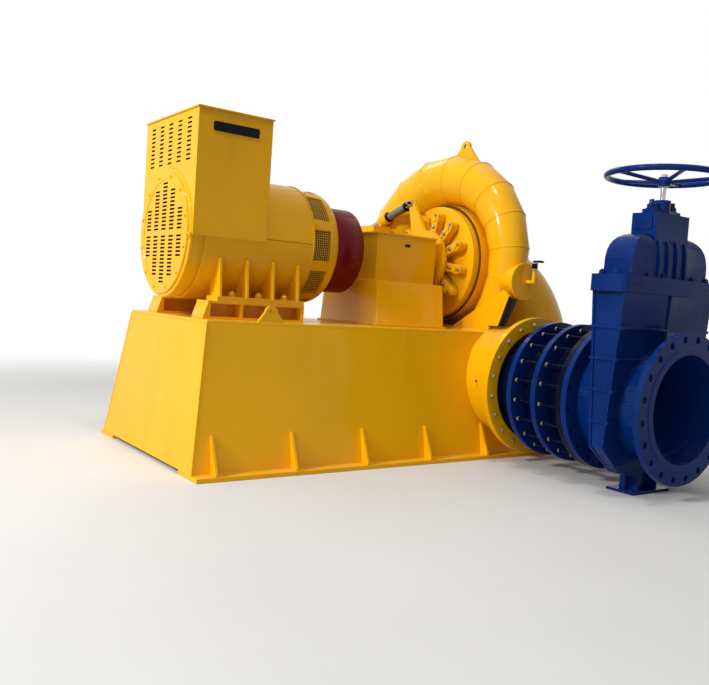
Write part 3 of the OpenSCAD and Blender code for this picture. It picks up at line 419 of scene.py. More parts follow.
@dataclass(frozen=True)
class DarkInside(Finish):
    """Near-black paint standing in for the shade of the unlit inside that shows through slots,
    grilles, pockets and gaps; dark joints use it too.
    """

    grease: Colour = srgb(34, 26, 16)

    def lay(self, g: Graph) -> None:
        """Lays the painted shade, with its grime.

        Args:
            g: The material's graph.
        """
        grime = g.noise(30.0, 4.0, 0.6)
        g.set(Base_Color=g.blend(grime, self.colour, self.grease),
              Roughness=grime * 0.2 + 0.7, Normal=g.bump(grime, 0.6 * MM))


class Paint(Enum):
    """The finishes of this machine, each with the record's slot that it stands for."""

    YELLOW = (Enamel("yellow_enamel", srgb(240, 176, 6)), Slot.YELLOW)
    # Dark yellow of painted shade, for the recess ring round the head cover and the seat under the
    # stay ring; the drip stain below the inlet tapping uses it too.
    SHADE = (Enamel("painted_shade_and_drip_enamel", srgb(88, 56, 8), roughness=0.5, coat=0.0, dust=0.1),
             Slot.YELLOW)
    MAROON = (Enamel("maroon_enamel", srgb(116, 12, 20), coat=0.1, mottle=0.16, dust=0.02),
              Slot.MAROON)
    BLUE = (CastEnamel("blue_enamel", srgb(6, 42, 108)), Slot.BLUE)
    # A darker copy of the blue, painted shade on the joint's sleeve and on the studs between the
    # rings.
    SHADED_BLUE = (CastEnamel("shaded_blue_enamel", srgb(6, 14, 42)), Slot.BLUE)
    BLACK = (Enamel("black_enamel", srgb(9, 9, 10), roughness=0.45, coat=0.0, specular=0.1,
                    mottle=0.1, dust=0.02, chips=0.3, primer=srgb(96, 92, 88)), Slot.DARK)
    GUNMETAL = (TurnedSteel("polished_tube", srgb(132, 132, 136), (8.0, 60.0, 60.0), 0.2, 0.15),
                Slot.DARK)
    STEEL = (TurnedSteel("turned_steel", srgb(190, 188, 182)), Slot.STEEL)
    ROD = (TurnedSteel("drawn_rod_steel", srgb(168, 166, 160), (8.0, 90.0, 90.0), 0.3, 0.35),
           Slot.STEEL)
    ZINC = (ZincPlate("zinc_plate", srgb(198, 194, 182)), Slot.STEEL)
    RUBBER = (MouldedRubber("moulded_rubber", srgb(18, 18, 19)), Slot.RUBBER)
    # Near-black painted shade for unlit insides, pockets and gaps, and the dark of joints.
    INSIDE = (DarkInside("painted_shade_and_joint_dark", srgb(14, 12, 10)), Slot.DARK)

    def __init__(self, finish: Finish, slot: Slot) -> None:
        """Keeps the finish and its slot."""
        self.finish = finish
        self.slot = slot


def add_object(name: str, data: bpy.types.ID) -> Object:
    """Adds an object to the scene.

    Args:
        name: The object's name.
        data: Its mesh, lamp or camera.

    Returns:
        The object.
    """
    made = bpy.data.objects.new(name, data)
    bpy.context.scene.collection.objects.link(made)
    return made


def mesh_object(name: str, bm: bmesh.types.BMesh) -> Object:
    """Turns a bmesh into an object of the scene, and frees it.

    Args:
        name: Name of the object and of its mesh.
        bm: The bmesh.

    Returns:
        The object.
    """
    mesh = bpy.data.meshes.new(name)
    bm.to_mesh(mesh)
    bm.free()
    return add_object(name, mesh)


@dataclass
class Work:
    """A mesh under construction, in metres, in the frame of the whole object."""

    bm: bmesh.types.BMesh = field(default_factory=bmesh.new)

    def box(self, low: Point, high: Point) -> None:
        """Adds a block.

        Args:
            low: Its lowest corner.
            high: Its highest corner.
        """
        size = Vector(high) - Vector(low)
        place = Matrix.Translation(Vector(low) + size / 2) @ Matrix.Diagonal((*size, 1))
        bmesh.ops.create_cube(self.bm, size=1, matrix=place)

    def bar(self, start: Point, end: Point, radius: float, radius_end: Optional[float] = None,
            sides: int = 24) -> None:
        """Adds a round bar or a cone between two points.

        Args:
            start: Centre of the first end.
            end: Centre of the second end.
            radius: Radius at the first end.
            radius_end: Radius at the second end, or None for the same.
            sides: Number of sides.
        """
        along = Vector(end) - Vector(start)
        turn = UP.rotation_difference(along).to_matrix().to_4x4()
        bmesh.ops.create_cone(
            self.bm, cap_ends=True, segments=sides, radius1=radius,
            radius2=radius if radius_end is None else radius_end, depth=along.length,
            matrix=Matrix.Translation(Vector(start) + along / 2) @ turn)

    def ball(self, middle: Point, radius: float) -> None:
        """Adds a round ball."""
        bmesh.ops.create_icosphere(self.bm, subdivisions=2, radius=radius,
                                   matrix=Matrix.Translation(Vector(middle)))

    def lathe(self, profile: Sequence[tuple[float, float]], origin: Point, axis: Vector,
              steps: int) -> None:
        """Turns an outline about an axis.

        Args:
            profile: Pairs of radius and distance along the axis.
            origin: A point of the axis, from which the distance counts.
            axis: Direction of the axis, of length 1.
            steps: Steps in the full turn.
        """
        before = set(self.bm.verts)
        start, out = Vector(origin), axis.orthogonal().normalized()
        points = [self.bm.verts.new(start + out * r + axis * h) for r, h in profile]
        edges = [self.bm.edges.new(pair) for pair in zip(points, points[1:])]
        bmesh.ops.spin(self.bm, geom=points + edges, cent=start, axis=axis, angle=math.tau,
                       steps=steps, use_merge=True)
        turned = [v for v in self.bm.verts if v not in before]
        bmesh.ops.remove_doubles(self.bm, verts=turned, dist=1e-6)

    def bead(self, middle: Point, axis: Vector, radius: float, thick: float, steps: int) -> None:
        """Adds a ring of six-sided section, as a weld bead round a pipe.

        Args:
            middle: Centre of the ring.
            axis: Direction of its axis, of length 1.
            radius: Radius of its centreline.
            thick: Radius of its section.
            steps: Steps in the full turn.
        """
        turns = [math.radians(60 * k) for k in (0, 1, 2, 3, 4, 5, 0)]
        profile = [(radius + thick * math.cos(a), thick * math.sin(a)) for a in turns]
        self.lathe(profile, middle, axis, steps)

    def hexagon(self, base: Point, direction: Vector, across: float, height: float) -> None:
        """Adds a hexagon head or nut whose outer rim is chamfered.

        Args:
            base: Centre of the face that seats.
            direction: Outward direction, of length 1.
            across: Width across the flats.
            height: Height of the head.
        """
        seat, radius = Vector(base), across / math.sqrt(3)
        rim = seat + direction * height * CHAMFER_HEIGHT
        self.bar(seat, rim, radius, sides=6)
        self.bar(rim, seat + direction * height, radius, radius * CHAMFER_R, sides=6)

    def bolt(self, base: Point, direction: Vector, thread: float, stud: float = 0.0) -> None:
        """Adds a washer and a hexagon, with a stud end above it where asked.

        Args:
            base: Centre of the seat.
            direction: Outward direction, of length 1.
            thread: Thread diameter.
            stud: Length of thread that stands above the nut.
        """
        seat = Vector(base) + direction * thread * WASHER_THICK
        self.bar(base, seat, thread, sides=20)
        self.hexagon(seat, direction, thread * HEAD_ACROSS, thread * HEAD_HEIGHT)
        if stud:
            top = seat + direction * thread * HEAD_HEIGHT
            self.bar(top, top + direction * stud, thread * STUD_R, thread * STUD_TIP_R, sides=12)

    def plate(self, outline: Sequence[Point], push: Point) -> None:
        """Adds a flat face and pushes it out into a plate.

        Args:
            outline: The corners in order.
            push: The thickness as a vector.
        """
        face = self.bm.faces.new([self.bm.verts.new(corner) for corner in outline])
        pushed = bmesh.ops.extrude_face_region(self.bm, geom=[face])["geom"]
        moved = [v for v in pushed if isinstance(v, bmesh.types.BMVert)]
        bmesh.ops.translate(self.bm, verts=moved, vec=Vector(push))

    def soften(self, width: float) -> None:
        """Rounds every sharp edge."""
        sharp = [e for e in self.bm.edges
                 if e.is_manifold and e.calc_face_angle(0) > math.radians(SOFT_ANGLE)]
        bmesh.ops.bevel(self.bm, geom=sharp, offset=width, offset_type="OFFSET", segments=2,
                        profile=0.5, affect="EDGES", clamp_overlap=True, material=-1)

    def done(self, name: str, paint: Paint, body: str = "unit",
             slot: Optional[Slot] = None) -> Object:
        """Finishes the mesh as a piece that rides on a body.

        Args:
            name: The piece's name.
            paint: Its finish.
            body: The CAD body that carries it.
            slot: The record's material slot, where it isn't the finish's own. Not used.

        Returns:
            The new object.
        """
        bmesh.ops.recalc_face_normals(self.bm, faces=self.bm.faces)
        return finish_piece(mesh_object(name, self.bm), body, paint)


def finish_piece(piece: Object, body: str, paint: Paint,
                 smooth: float = SHARP_ANGLE) -> Object:
    """Shades a piece, gives it its finish and lets it ride on its body.

    Args:
        piece: The object.
        body: The CAD body that carries it.
        paint: Its finish.
        smooth: Edges sharper than this many degrees stay sharp.

    Returns:
        The same object.
    """
    piece.data.materials.clear()
    piece.data.materials.append(paint.finish.material())
    piece.data.shade_smooth()
    piece.data.set_sharp_from_angle(angle=math.radians(smooth))
    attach(piece, body)
    log.info("%s: %d faces, %s", piece.name, len(piece.data.polygons), paint.finish.name)
    return piece


def dress(node: str, paint: Paint, edge: float = 2.0 * MM,
          smooth: float = SHARP_ANGLE) -> Object:
    """Gives a CAD node a finished copy, of whole faces instead of triangles.

    Args:
        node: The CAD node.
        paint: Its finish.
        edge: Radius of its edges, or 0 to leave them sharp.
        smooth: Edges sharper than this many degrees stay sharp.

    Returns:
        The finished piece, which stands for the node.
    """
    source = frame["nodes"][node]
    bm = bmesh.new()
    bm.from_mesh(source.data)
    bmesh.ops.remove_doubles(bm, verts=bm.verts, dist=WELD_DISTANCE)
    bmesh.ops.dissolve_limit(bm, angle_limit=math.radians(FLAT_ANGLE), verts=bm.verts,
                             edges=bm.edges)
    piece = mesh_object(f"{node}_skin", bm)
    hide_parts(node)
    finish_piece(piece, source["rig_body"], paint, smooth)
    if edge:
        bevel = piece.modifiers.new("rounded_edges", "BEVEL")
        bevel.width = edge
        bevel.segments = 2
        bevel.limit_method = "ANGLE"
        bevel.angle_limit = math.radians(BEVEL_ANGLE)
        bevel.harden_normals = True
    return piece


def paint_faces(piece: Object, paint: Paint, test: Callable[[Vector, Vector], bool]) -> None:
    """Gives the faces that pass a test another finish.

    Args:
        piece: The piece.
        paint: The other finish.
        test: Takes a face's centre and normal.
    """
    piece.data.materials.append(paint.finish.material())
    index = len(piece.data.materials) - 1
    for face in piece.data.polygons:
        if test(face.center, face.normal):
            face.material_index = index


class Extent:
    """The box round a CAD node: its lowest corner, its highest corner and its middle."""

    def __init__(self, node: str) -> None:
        """Reads the node's box."""
        self.low, self.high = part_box(node)
        self.middle = (self.low + self.high) / 2


def half_steps(count: int) -> list[float]:
    """Angles of even steps round a circle, the first of them half a step on."""
    return [(index + 0.5) * 360 / count for index in range(count)]


def about_x(middle: Point, radius: float, angle: float, x: float) -> Vector:
    """A point of a circle about a line along X, at an angle in degrees from +Y."""
    turn = math.radians(angle)
    return Vector((x, middle[1] + radius * math.cos(turn), middle[2] + radius * math.sin(turn)))


def about_y(middle: Point, radius: float, angle: float, y: float) -> Vector:
    """A point of a circle about a line along Y, at an angle in degrees from +X."""
    turn = math.radians(angle)
    return Vector((middle[0] + radius * math.cos(turn), y, middle[2] + radius * math.sin(turn)))


@dataclass
class View:
    """The camera at the photograph's place, with its focal length in pixels of the photo."""

    place: Point = (-3.052, -4.374, 0.972)
    yaw: float = 35.54
    pitch: float = -3.08
    roll: float = -3.85
    focal_pixels: float = 795.0
    image_width: float = 709.0
    sensor: float = 36.0
    far_end: float = 200.0

    def build(self) -> None:
        """Makes the camera."""
        yaw, pitch, roll = (math.radians(a) for a in (self.yaw, self.pitch, self.roll))
        ahead = Vector((math.sin(yaw) * math.cos(pitch), math.cos(yaw) * math.cos(pitch),
                        math.sin(pitch)))
        level = Vector((math.cos(yaw), -math.sin(yaw), 0.0))
        down = ahead.cross(level)
        right = level * math.cos(roll) + down * math.sin(roll)
        below = down * math.cos(roll) - level * math.sin(roll)
        data = bpy.data.cameras.new("view")
        data.sensor_width = self.sensor
        data.sensor_fit = "HORIZONTAL"
        data.lens = self.focal_pixels * self.sensor / self.image_width
        data.dof.use_dof = False
        data.clip_end = self.far_end
        camera = add_object("view", data)
        turn = Matrix((right, -below, -ahead)).transposed().to_4x4()
        camera.matrix_world = Matrix.Translation(self.place) @ turn
        bpy.context.scene.camera = camera


@dataclass(frozen=True)
class Lamp:
    """A square lamp that looks at the middle of the set."""

    name: str
    place: Point
    watts: float
    size: float
    aim: Point = (0.3, -0.4, 0.9)

    def build(self) -> None:
        """Makes the lamp."""
        data = bpy.data.lights.new(self.name, "AREA")
        data.energy = self.watts
        data.size = self.size
        turn = (Vector(self.aim) - Vector(self.place)).to_track_quat("-Z", "Y")
        lamp = add_object(self.name, data)
        lamp.matrix_world = Matrix.Translation(self.place) @ turn.to_matrix().to_4x4()


@dataclass
class Studio:
    """A pale floor that fades into white, and soft studio light."""

    floor_half: float = 12.0
    floor_clear: float = 2.9
    floor_gone: float = 6.4
    floor_colour: Colour = (0.68, 0.68, 0.665, 1.0)
    sky_white: float = 1.0
    sky_side: Point = (-0.74, 0.12, 0.66)
    sky_bright: float = 0.8
    sky_dim: float = 0.05
    lamps: tuple[Lamp, ...] = (Lamp("key", (-7.0, -0.6, 4.6), 420.0, 1.0),
                               Lamp("front_fill", (-1.0, -8.0, 2.6), 5.0, 2.0),
                               Lamp("back_rim", (1.0, 5.0, 6.5), 60.0, 1.6),
                               Lamp("overhead", (-1.2, -1.6, 6.4), 75.0, 0.7))

    def build(self) -> None:
        """Makes the floor, the world and the lamps."""
        self._floor()
        self._world()
        for lamp in self.lamps:
            lamp.build()
        bpy.context.scene.view_settings.view_transform = "Standard"

    def _floor(self) -> None:
        """Makes the floor plane."""
        bm = bmesh.new()
        bmesh.ops.create_grid(bm, x_segments=1, y_segments=1, size=self.floor_half)
        floor = mesh_object("floor", bm)
        g = Graph("floor_paint")
        fleck = g.noise(2.2, 5.0, 0.6)
        g.set(Base_Color=g.blend(fleck, self.floor_colour, darker(self.floor_colour, 0.94)),
              Roughness=0.75,
              Alpha=g.distance().step(self.floor_clear, self.floor_gone, 1.0, 0.0))
        floor.data.materials.append(g.material)

    def _world(self) -> None:
        """Sets a white world for sight, gloss and glass, and a soft side light for the rest."""
        world = bpy.data.worlds.new("studio")
        bpy.context.scene.world = world
        world.use_nodes = True
        g = Nodes(world.node_tree)
        side = Vector(self.sky_side).normalized()
        light = g.along("Generated", side).step(-0.2, 0.95, self.sky_dim, self.sky_bright)
        rays = g.node("ShaderNodeLightPath")
        camera, glossy, through = (Wire(g, rays.outputs[f"Is {kind} Ray"])
                                   for kind in ("Camera", "Glossy", "Transmission"))
        white = camera.peak(glossy).peak(through)
        background = g.tree.nodes["Background"].inputs
        strength = g.wire("ShaderNodeMix", 0, {0: white, 2: light, 3: self.sky_white},
                          data_type="FLOAT")
        g.feed(background["Color"], (1, 1, 1, 1))
        g.feed(background["Strength"], strength)


@dataclass
class Base:
    """The welded base with its deck, gussets and lugs."""

    bead: float = 3.5 * MM
    bead_sides: int = 8
    nodes: tuple[str, ...] = ("base_front_wall", "base_rear_wall", "base_end_walls", "base_deck",
                              "base_foot_plates", "base_cross_beams", "base_gussets",
                              "base_lifting_lugs")

    def build(self) -> None:
        """Dresses the plates and lays beads along the walls' feet and up the corners."""
        for node in self.nodes:
            dress(node, Paint.YELLOW)
        foot_z = Extent("base_foot_plates").high.z
        wall_y = abs(Extent("base_front_wall").low.y)
        ends, deck = Extent("base_end_walls"), Extent("base_deck")
        work = Work()
        for side in (-1, 1):
            feet = [Vector((x, side * wall_y, foot_z)) for x in (ends.low.x, ends.high.x)]
            work.bar(*feet, self.bead, sides=self.bead_sides)
            for sign, foot in zip((-1, 1), feet):
                head = Vector((sign * deck.high.x, side * deck.high.y, deck.low.z))
                work.bar(foot, head, self.bead, sides=self.bead_sides)
        work.done("base_welds", Paint.YELLOW)


@dataclass
class Generator:
    """The generator with its terminal box, covers, grilles and feet."""

    slot_depth: float = 0.012
    slot_reach: float = 0.300
    slots_half: float = 0.345
    pocket_inner: float = 0.2
    mesh_columns: int = 9
    mesh_rows: int = 13
    mesh_wire: float = 1.5 * MM
    mesh_sheet: float = 2.0 * MM
    mesh_lift: float = 0.010
    windows: int = 9
    window_angle: float = 30.0
    shield_bolt_in: float = 0.011
    shield_bolt_x: float = 0.026
    small_bolt: float = 0.009
    rim_bolts: int = 12
    rim_inner: float = 0.298
    rim_outer: float = 0.3665
    rim_fillet: float = 0.009
    rim_step: float = 0.022
    rim_chamfer: float = 3.0 * MM
    rim_proud: float = 0.004
    rim_seat: float = 0.016
    strip_from_end: float = 0.088
    strip_length: float = 0.276
    strip_height: float = 0.050
    strip_below_top: float = 0.061
    strip_corner: float = 0.009
    strip_thick: float = 6.0 * MM
    foot_ribs: int = 4
    foot_plate: float = 0.026
    first_rib: float = 0.020
    last_rib: float = 0.030
    foot_bolt: float = 0.024
    foot_bolt_y: float = 0.345
    latch_angle: float = 183.0
    latch_low: Point = (-0.016, -0.022, -0.013)
    latch_high: Point = (0.012, 0.014, 0.013)
    latch_pin: Point = (-0.026, 0.0, 0.0)
    seam: float = 1.0 * MM

    def build(self) -> None:
        """Dresses the generator."""
        for node in ("generator_supports", "generator_feet", "generator_barrel",
                     "generator_rear_ring", "terminal_box_lid"):
            dress(node, Paint.YELLOW)
        self._slotted("terminal_box", math.inf)
        self._slotted("generator_rear_cover", self.slot_reach)
        self._shield()
        self._grilles()
        self._name_strip()
        self._foot_bolts()
        self._cover_rim()
        self._drive_end_bolts()
        self._latch()
        self._seams()

    def _slotted(self, node: str, reach: float) -> None:
        """Dresses a cover whose slot floors take the near-black of painted shade, for the unlit
        inside.

        Args:
            node: The CAD node.
            reach: Radius round the rear cover's middle within which its slots lie.
        """
        face, middle = Extent(node).low.x, Extent("generator_rear_cover").middle

        def in_slot(place: Vector, normal: Vector) -> bool:
            """Whether a face lies inside a slot."""
            deep = 0.3 * self.slot_depth < place.x - face < 1.05 * self.slot_depth
            inward = abs(place.y) < self.slots_half - 0.02 * abs(normal.x)
            return deep and inward and math.hypot(place.y, place.z - middle.z) < reach

        # The slot floors are painted shade.
        paint_faces(dress(node, Paint.YELLOW, 1.2 * MM), Paint.INSIDE, in_slot)

    def _shield(self) -> None:
        """Dresses the drive end, the floors of its window pockets in the near-black of painted
        shade behind the grilles.
        """
        middle = Extent("drive_end_shield").middle
        pocket_outer = Extent("air_screens").high.z - middle.z + 2.0 * MM

        def pocket_floor(place: Vector, normal: Vector) -> bool:
            """Whether a face is the floor of a window pocket."""
            out = math.hypot(place.y - middle.y, place.z - middle.z)
            return self.pocket_inner < out < pocket_outer and abs(normal.x) < 0.3

        shield = dress("drive_end_shield", Paint.YELLOW, 1.5 * MM)
        # The pocket floors are painted shade.
        paint_faces(shield, Paint.INSIDE, pocket_floor)

    def _grilles(self) -> None:
        """Makes the perforated grilles of the air windows."""
        screens, middle = Extent("air_screens"), Extent("drive_end_shield").middle
        radius = screens.high.z - middle.z + self.mesh_lift
        length = screens.high.x - screens.low.x
        work = Work()
        for angle in half_steps(self.windows):
            grid = bmesh.ops.create_grid(work.bm, x_segments=self.mesh_columns,
                                         y_segments=self.mesh_rows, size=0.5)["verts"]
            for v in grid:
                along = screens.low.x + (v.co.x + 0.5) * length
                v.co = about_x(middle, radius, angle + v.co.y * self.window_angle, along)
        faces = list(work.bm.faces)
        bmesh.ops.inset_individual(work.bm, faces=faces, thickness=self.mesh_wire, depth=0.0)
        bmesh.ops.delete(work.bm, geom=faces, context="FACES_ONLY")
        grille = work.done("air_grilles", Paint.YELLOW, slot=Slot.DARK)
        sheet = grille.modifiers.new("sheet", "SOLIDIFY")
        sheet.thickness = self.mesh_sheet
        sheet.offset = 0.0
        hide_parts("air_screens")

    def _name_strip(self) -> None:
        """Adds the bare black strip on the front of the terminal box."""
        box, r = Extent("terminal_box"), self.strip_corner
        x0, z1 = box.low.x + self.strip_from_end, box.high.z - self.strip_below_top
        x1, z0 = x0 + self.strip_length, z1 - self.strip_height
        corners = ((x1 - r, z1 - r, 0), (x0 + r, z1 - r, 90), (x0 + r, z0 + r, 180),
                   (x1 - r, z0 + r, 270))
        outline = [(x + r * math.cos(math.radians(turn + step)), box.low.y + 1.0 * MM,
                    z + r * math.sin(math.radians(turn + step)))
                   for x, z, turn in corners for step in range(0, 91, 18)]
        work = Work()
        work.plate(outline, (0.0, -self.strip_thick, 0.0))
        work.done("black_strip", Paint.BLACK)

    def _foot_bolts(self) -> None:
        """Adds the holding bolts between the ribs of the feet."""
        feet, gaps = Extent("generator_feet"), self.foot_ribs - 1
        first, last = feet.low.x + self.first_rib, feet.high.x - self.last_rib
        work = Work()
        for gap in range(gaps):
            x = first + (gap + 0.55) * (last - first) / gaps
            for y in (-self.foot_bolt_y, self.foot_bolt_y):
                work.bolt((x, y, feet.low.z + self.foot_plate), UP, self.foot_bolt, 0.010)
        work.done("foot_bolts", Paint.YELLOW)

    def _cover_rim(self) -> None:
        """Adds the rolled rim round the rear cover, and its bolts."""
        ring = Extent("generator_rear_ring")
        face = min(Extent("generator_rear_cover").low.x, Extent("terminal_box").low.x)
        face -= self.rim_proud
        back, shoulder = ring.low.x + self.rim_seat, face + self.rim_step / 2
        inner, outer = self.rim_inner, self.rim_outer
        fillet, cut, land = self.rim_fillet, self.rim_chamfer, outer - self.rim_step
        profile = [(inner, back), (inner, face + cut), (inner + cut, face), (land, face),
                   (land + cut, shoulder)]
        profile += [(outer - fillet * (1 - math.sin(a)), shoulder + fillet * (1 - math.cos(a)))
                    for a in (math.radians(15 * turn) for turn in range(7))]
        profile += [(outer, back), (inner, back)]
        work = Work()
        work.lathe(profile, (0.0, ring.middle.y, ring.middle.z), ALONG, FINE_TURN)
        for angle in half_steps(self.rim_bolts):
            work.bolt(about_x(ring.middle, (inner + land) / 2, angle, face), -ALONG,
                      self.small_bolt)
        work.done("cover_rim", Paint.YELLOW)

    def _drive_end_bolts(self) -> None:
        """Adds the small bolts between the air windows."""
        shield = Extent("drive_end_shield")
        radius = shield.high.z - shield.middle.z - self.shield_bolt_in
        x = shield.low.x + self.shield_bolt_x
        work = Work()
        for index in range(self.windows):
            angle = index * 360 / self.windows
            work.bolt(about_x(shield.middle, radius, angle, x),
                      about_x(Vector(), 1.0, angle, 0.0), self.small_bolt)
        work.done("drive_end_bolts", Paint.YELLOW)

    def _latch(self) -> None:
        """Adds the latch at the side of the rear cover."""
        place = about_x(Extent("generator_rear_ring").middle, self.rim_outer - self.rim_seat,
                        self.latch_angle, Extent("terminal_box").low.x)
        work = Work()
        work.box(place + Vector(self.latch_low), place + Vector(self.latch_high))
        work.soften(2.5 * MM)
        work.bar(place, place + Vector(self.latch_pin), 0.009, 0.007, 16)
        work.done("cover_latch", Paint.YELLOW)

    def _seams(self) -> None:
        """Adds the long seam at each side of the barrel."""
        barrel = Extent("generator_barrel")
        radius, z = barrel.high.z - barrel.middle.z, barrel.middle.z
        work = Work()
        for y in (-radius, radius):
            work.box((barrel.low.x + 0.01, y - self.seam, z - self.seam),
                     (barrel.high.x - 0.002, y + self.seam, z + self.seam))
        work.done("barrel_seam", Paint.INSIDE, slot=Slot.YELLOW)


@dataclass
class ShaftLine:
    """The flywheel, the shaft and its bearing."""

    screw: float = 0.012
    screw_inset: float = 0.03
    foot_bolts_x: tuple[float, float] = (0.06, 0.44)
    foot_bolts_out: float = 0.035
    sight_place: Point = (0.256, 0.009, 0.074)
    sight_half: Point = (0.026, 0.003, 0.011)

    def build(self) -> None:
        """Dresses the shaft line."""
        dress("flywheel", Paint.MAROON, 0.0)
        dress("main_shaft", Paint.STEEL, 1.5 * MM)
        for node in ("bearing_pedestal", "bearing_housing", "bearing_cover"):
            dress(node, Paint.YELLOW)
        self._sight_glass()
        self._screws()

    def _sight_glass(self) -> None:
        """Adds a near-black box at the floor of the bearing's sight slot, for its glass."""
        low = Extent("bearing_housing").low
        place = Vector((low.x, low.y, Extent("main_shaft").middle.z)) + Vector(self.sight_place)
        work = Work()
        work.box(place - Vector(self.sight_half), place + Vector(self.sight_half))
        work.done("sight_glass", Paint.INSIDE)

    def _screws(self) -> None:
        """Adds the cap screws of the bearing cover and the pedestal's bolts."""
        cover, house = Extent("bearing_cover"), Extent("bearing_housing").low
        inset = self.screw_inset
        work = Work()
        for x in (cover.low.x + inset, cover.middle.x, cover.high.x - inset):
            for y in (cover.low.y + inset, cover.high.y - inset):
                work.bolt((x, y, cover.high.z), UP, self.screw)
        for x in self.foot_bolts_x:
            for side in (-1, 1):
                y = side * (abs(house.y) + self.foot_bolts_out)
                work.bolt((house.x + x, y, house.z), UP, self.screw)
        work.done("bearing_screws", Paint.YELLOW)


@dataclass
class Governor:
    """The stand, the servo and the gear that turns the guide vanes."""

    levers: int = 12
    spindle_circle: float = 0.300
    first_angle: float = 10.0
    clamp_bolt: float = 0.016
    clamp_bolt_in: float = 0.052
    pin_bolt: float = 0.0128
    pin_bolt_out: float = 0.034
    cap: float = 0.011
    cap_height: float = 0.012
    cap_pitch: float = 0.046
    arm_circle: float = 0.460
    arm_angle: float = 66.0
    slope: float = 18.0
    near_band: float = 0.076
    far_band: float = 0.327
    bands_end: float = 0.350
    tail: float = 0.390
    tail_end: float = 0.630
    tail_r: float = 0.019
    collar_start: float = 0.291
    collar_end: float = 0.343
    collar_r: float = 0.048
    ring_start: float = 0.275
    ring_r: float = 0.037

    def build(self) -> None:
        """Dresses the governor gear."""
        dress("governor_stand", Paint.YELLOW)
        self._cylinder()
        dress("servo_rod", Paint.ROD, 1.5 * MM)
        dress("regulating_ring", Paint.YELLOW, 2.5 * MM)
        self._levers()
        self._grease_caps()

    def _servo_line(self, x: float) -> tuple[Vector, Vector]:
        """The servo's line at a place along the shaft.

        Args:
            x: The place.

        Returns:
            The arm's pin, and the line's direction away from it.
        """
        slope = math.radians(self.slope)
        return (about_x(Extent("main_shaft").middle, self.arm_circle, self.arm_angle, x),
                Vector((0.0, math.cos(slope), -math.sin(slope))))

    def _cylinder(self) -> None:
        """Dresses the servo: a polished tube with black bands, its tail rod and its clamp."""
        cylinder = dress("servo_cylinder", Paint.GUNMETAL, 1.5 * MM)
        pin, away = self._servo_line(Extent("servo_cylinder").middle.x)

        def in_band(place: Vector, _: Vector) -> bool:
            """Whether a face lies in one of the black bands."""
            far = (place - pin).dot(away)
            return far < self.near_band or self.far_band < far < self.bands_end

        paint_faces(cylinder, Paint.BLACK, in_band)
        paint_faces(cylinder, Paint.STEEL, lambda place, _: (place - pin).dot(away) > self.tail)
        for name, paint, start, end, radius, sides in (
                ("tail_rod", Paint.STEEL, self.tail, self.tail_end, self.tail_r, 32),
                ("clamp_collar", Paint.YELLOW, self.collar_start, self.collar_end,
                 self.collar_r, 40),
                ("clamp_ring", Paint.BLACK, self.ring_start, self.collar_start, self.ring_r, 40)):
            work = Work()
            work.bar(pin + away * start, pin + away * end, radius, sides=sides)
            if name == "clamp_collar":
                work.soften(2.0 * MM)
            work.done(name, paint)

    def _levers(self) -> None:
        """Dresses the levers, each with a clamp bolt and a pin bolt that turn with it."""
        middle = Extent("main_shaft").middle
        for index in range(self.levers):
            lever = f"guide_lever_{index + 1}"
            dress(lever, Paint.YELLOW, 3.0 * MM)
            face = Extent(lever).low.x
            angle = index * 360 / self.levers + self.first_angle
            work = Work()
            for radius, thread in ((self.spindle_circle - self.clamp_bolt_in, self.clamp_bolt),
                                   (self.spindle_circle + self.pin_bolt_out, self.pin_bolt)):
                work.bolt(about_x(middle, radius, angle, face), -ALONG, thread)
            work.done(f"lever_bolts_{index + 1}", Paint.ROD, lever)

    def _grease_caps(self) -> None:
        """Adds the black grease caps on the rod end."""
        pin, away = self._servo_line(Extent("servo_rod").low.x)
        top = -ALONG * self.cap_height
        work = Work()
        for base in (pin, pin + away * self.cap_pitch):
            work.bar(base - top / 3, base + top, self.cap, sides=20)
            work.ball(base + top, self.cap)
        work.done("grease_caps", Paint.BLACK, "servo_rod")


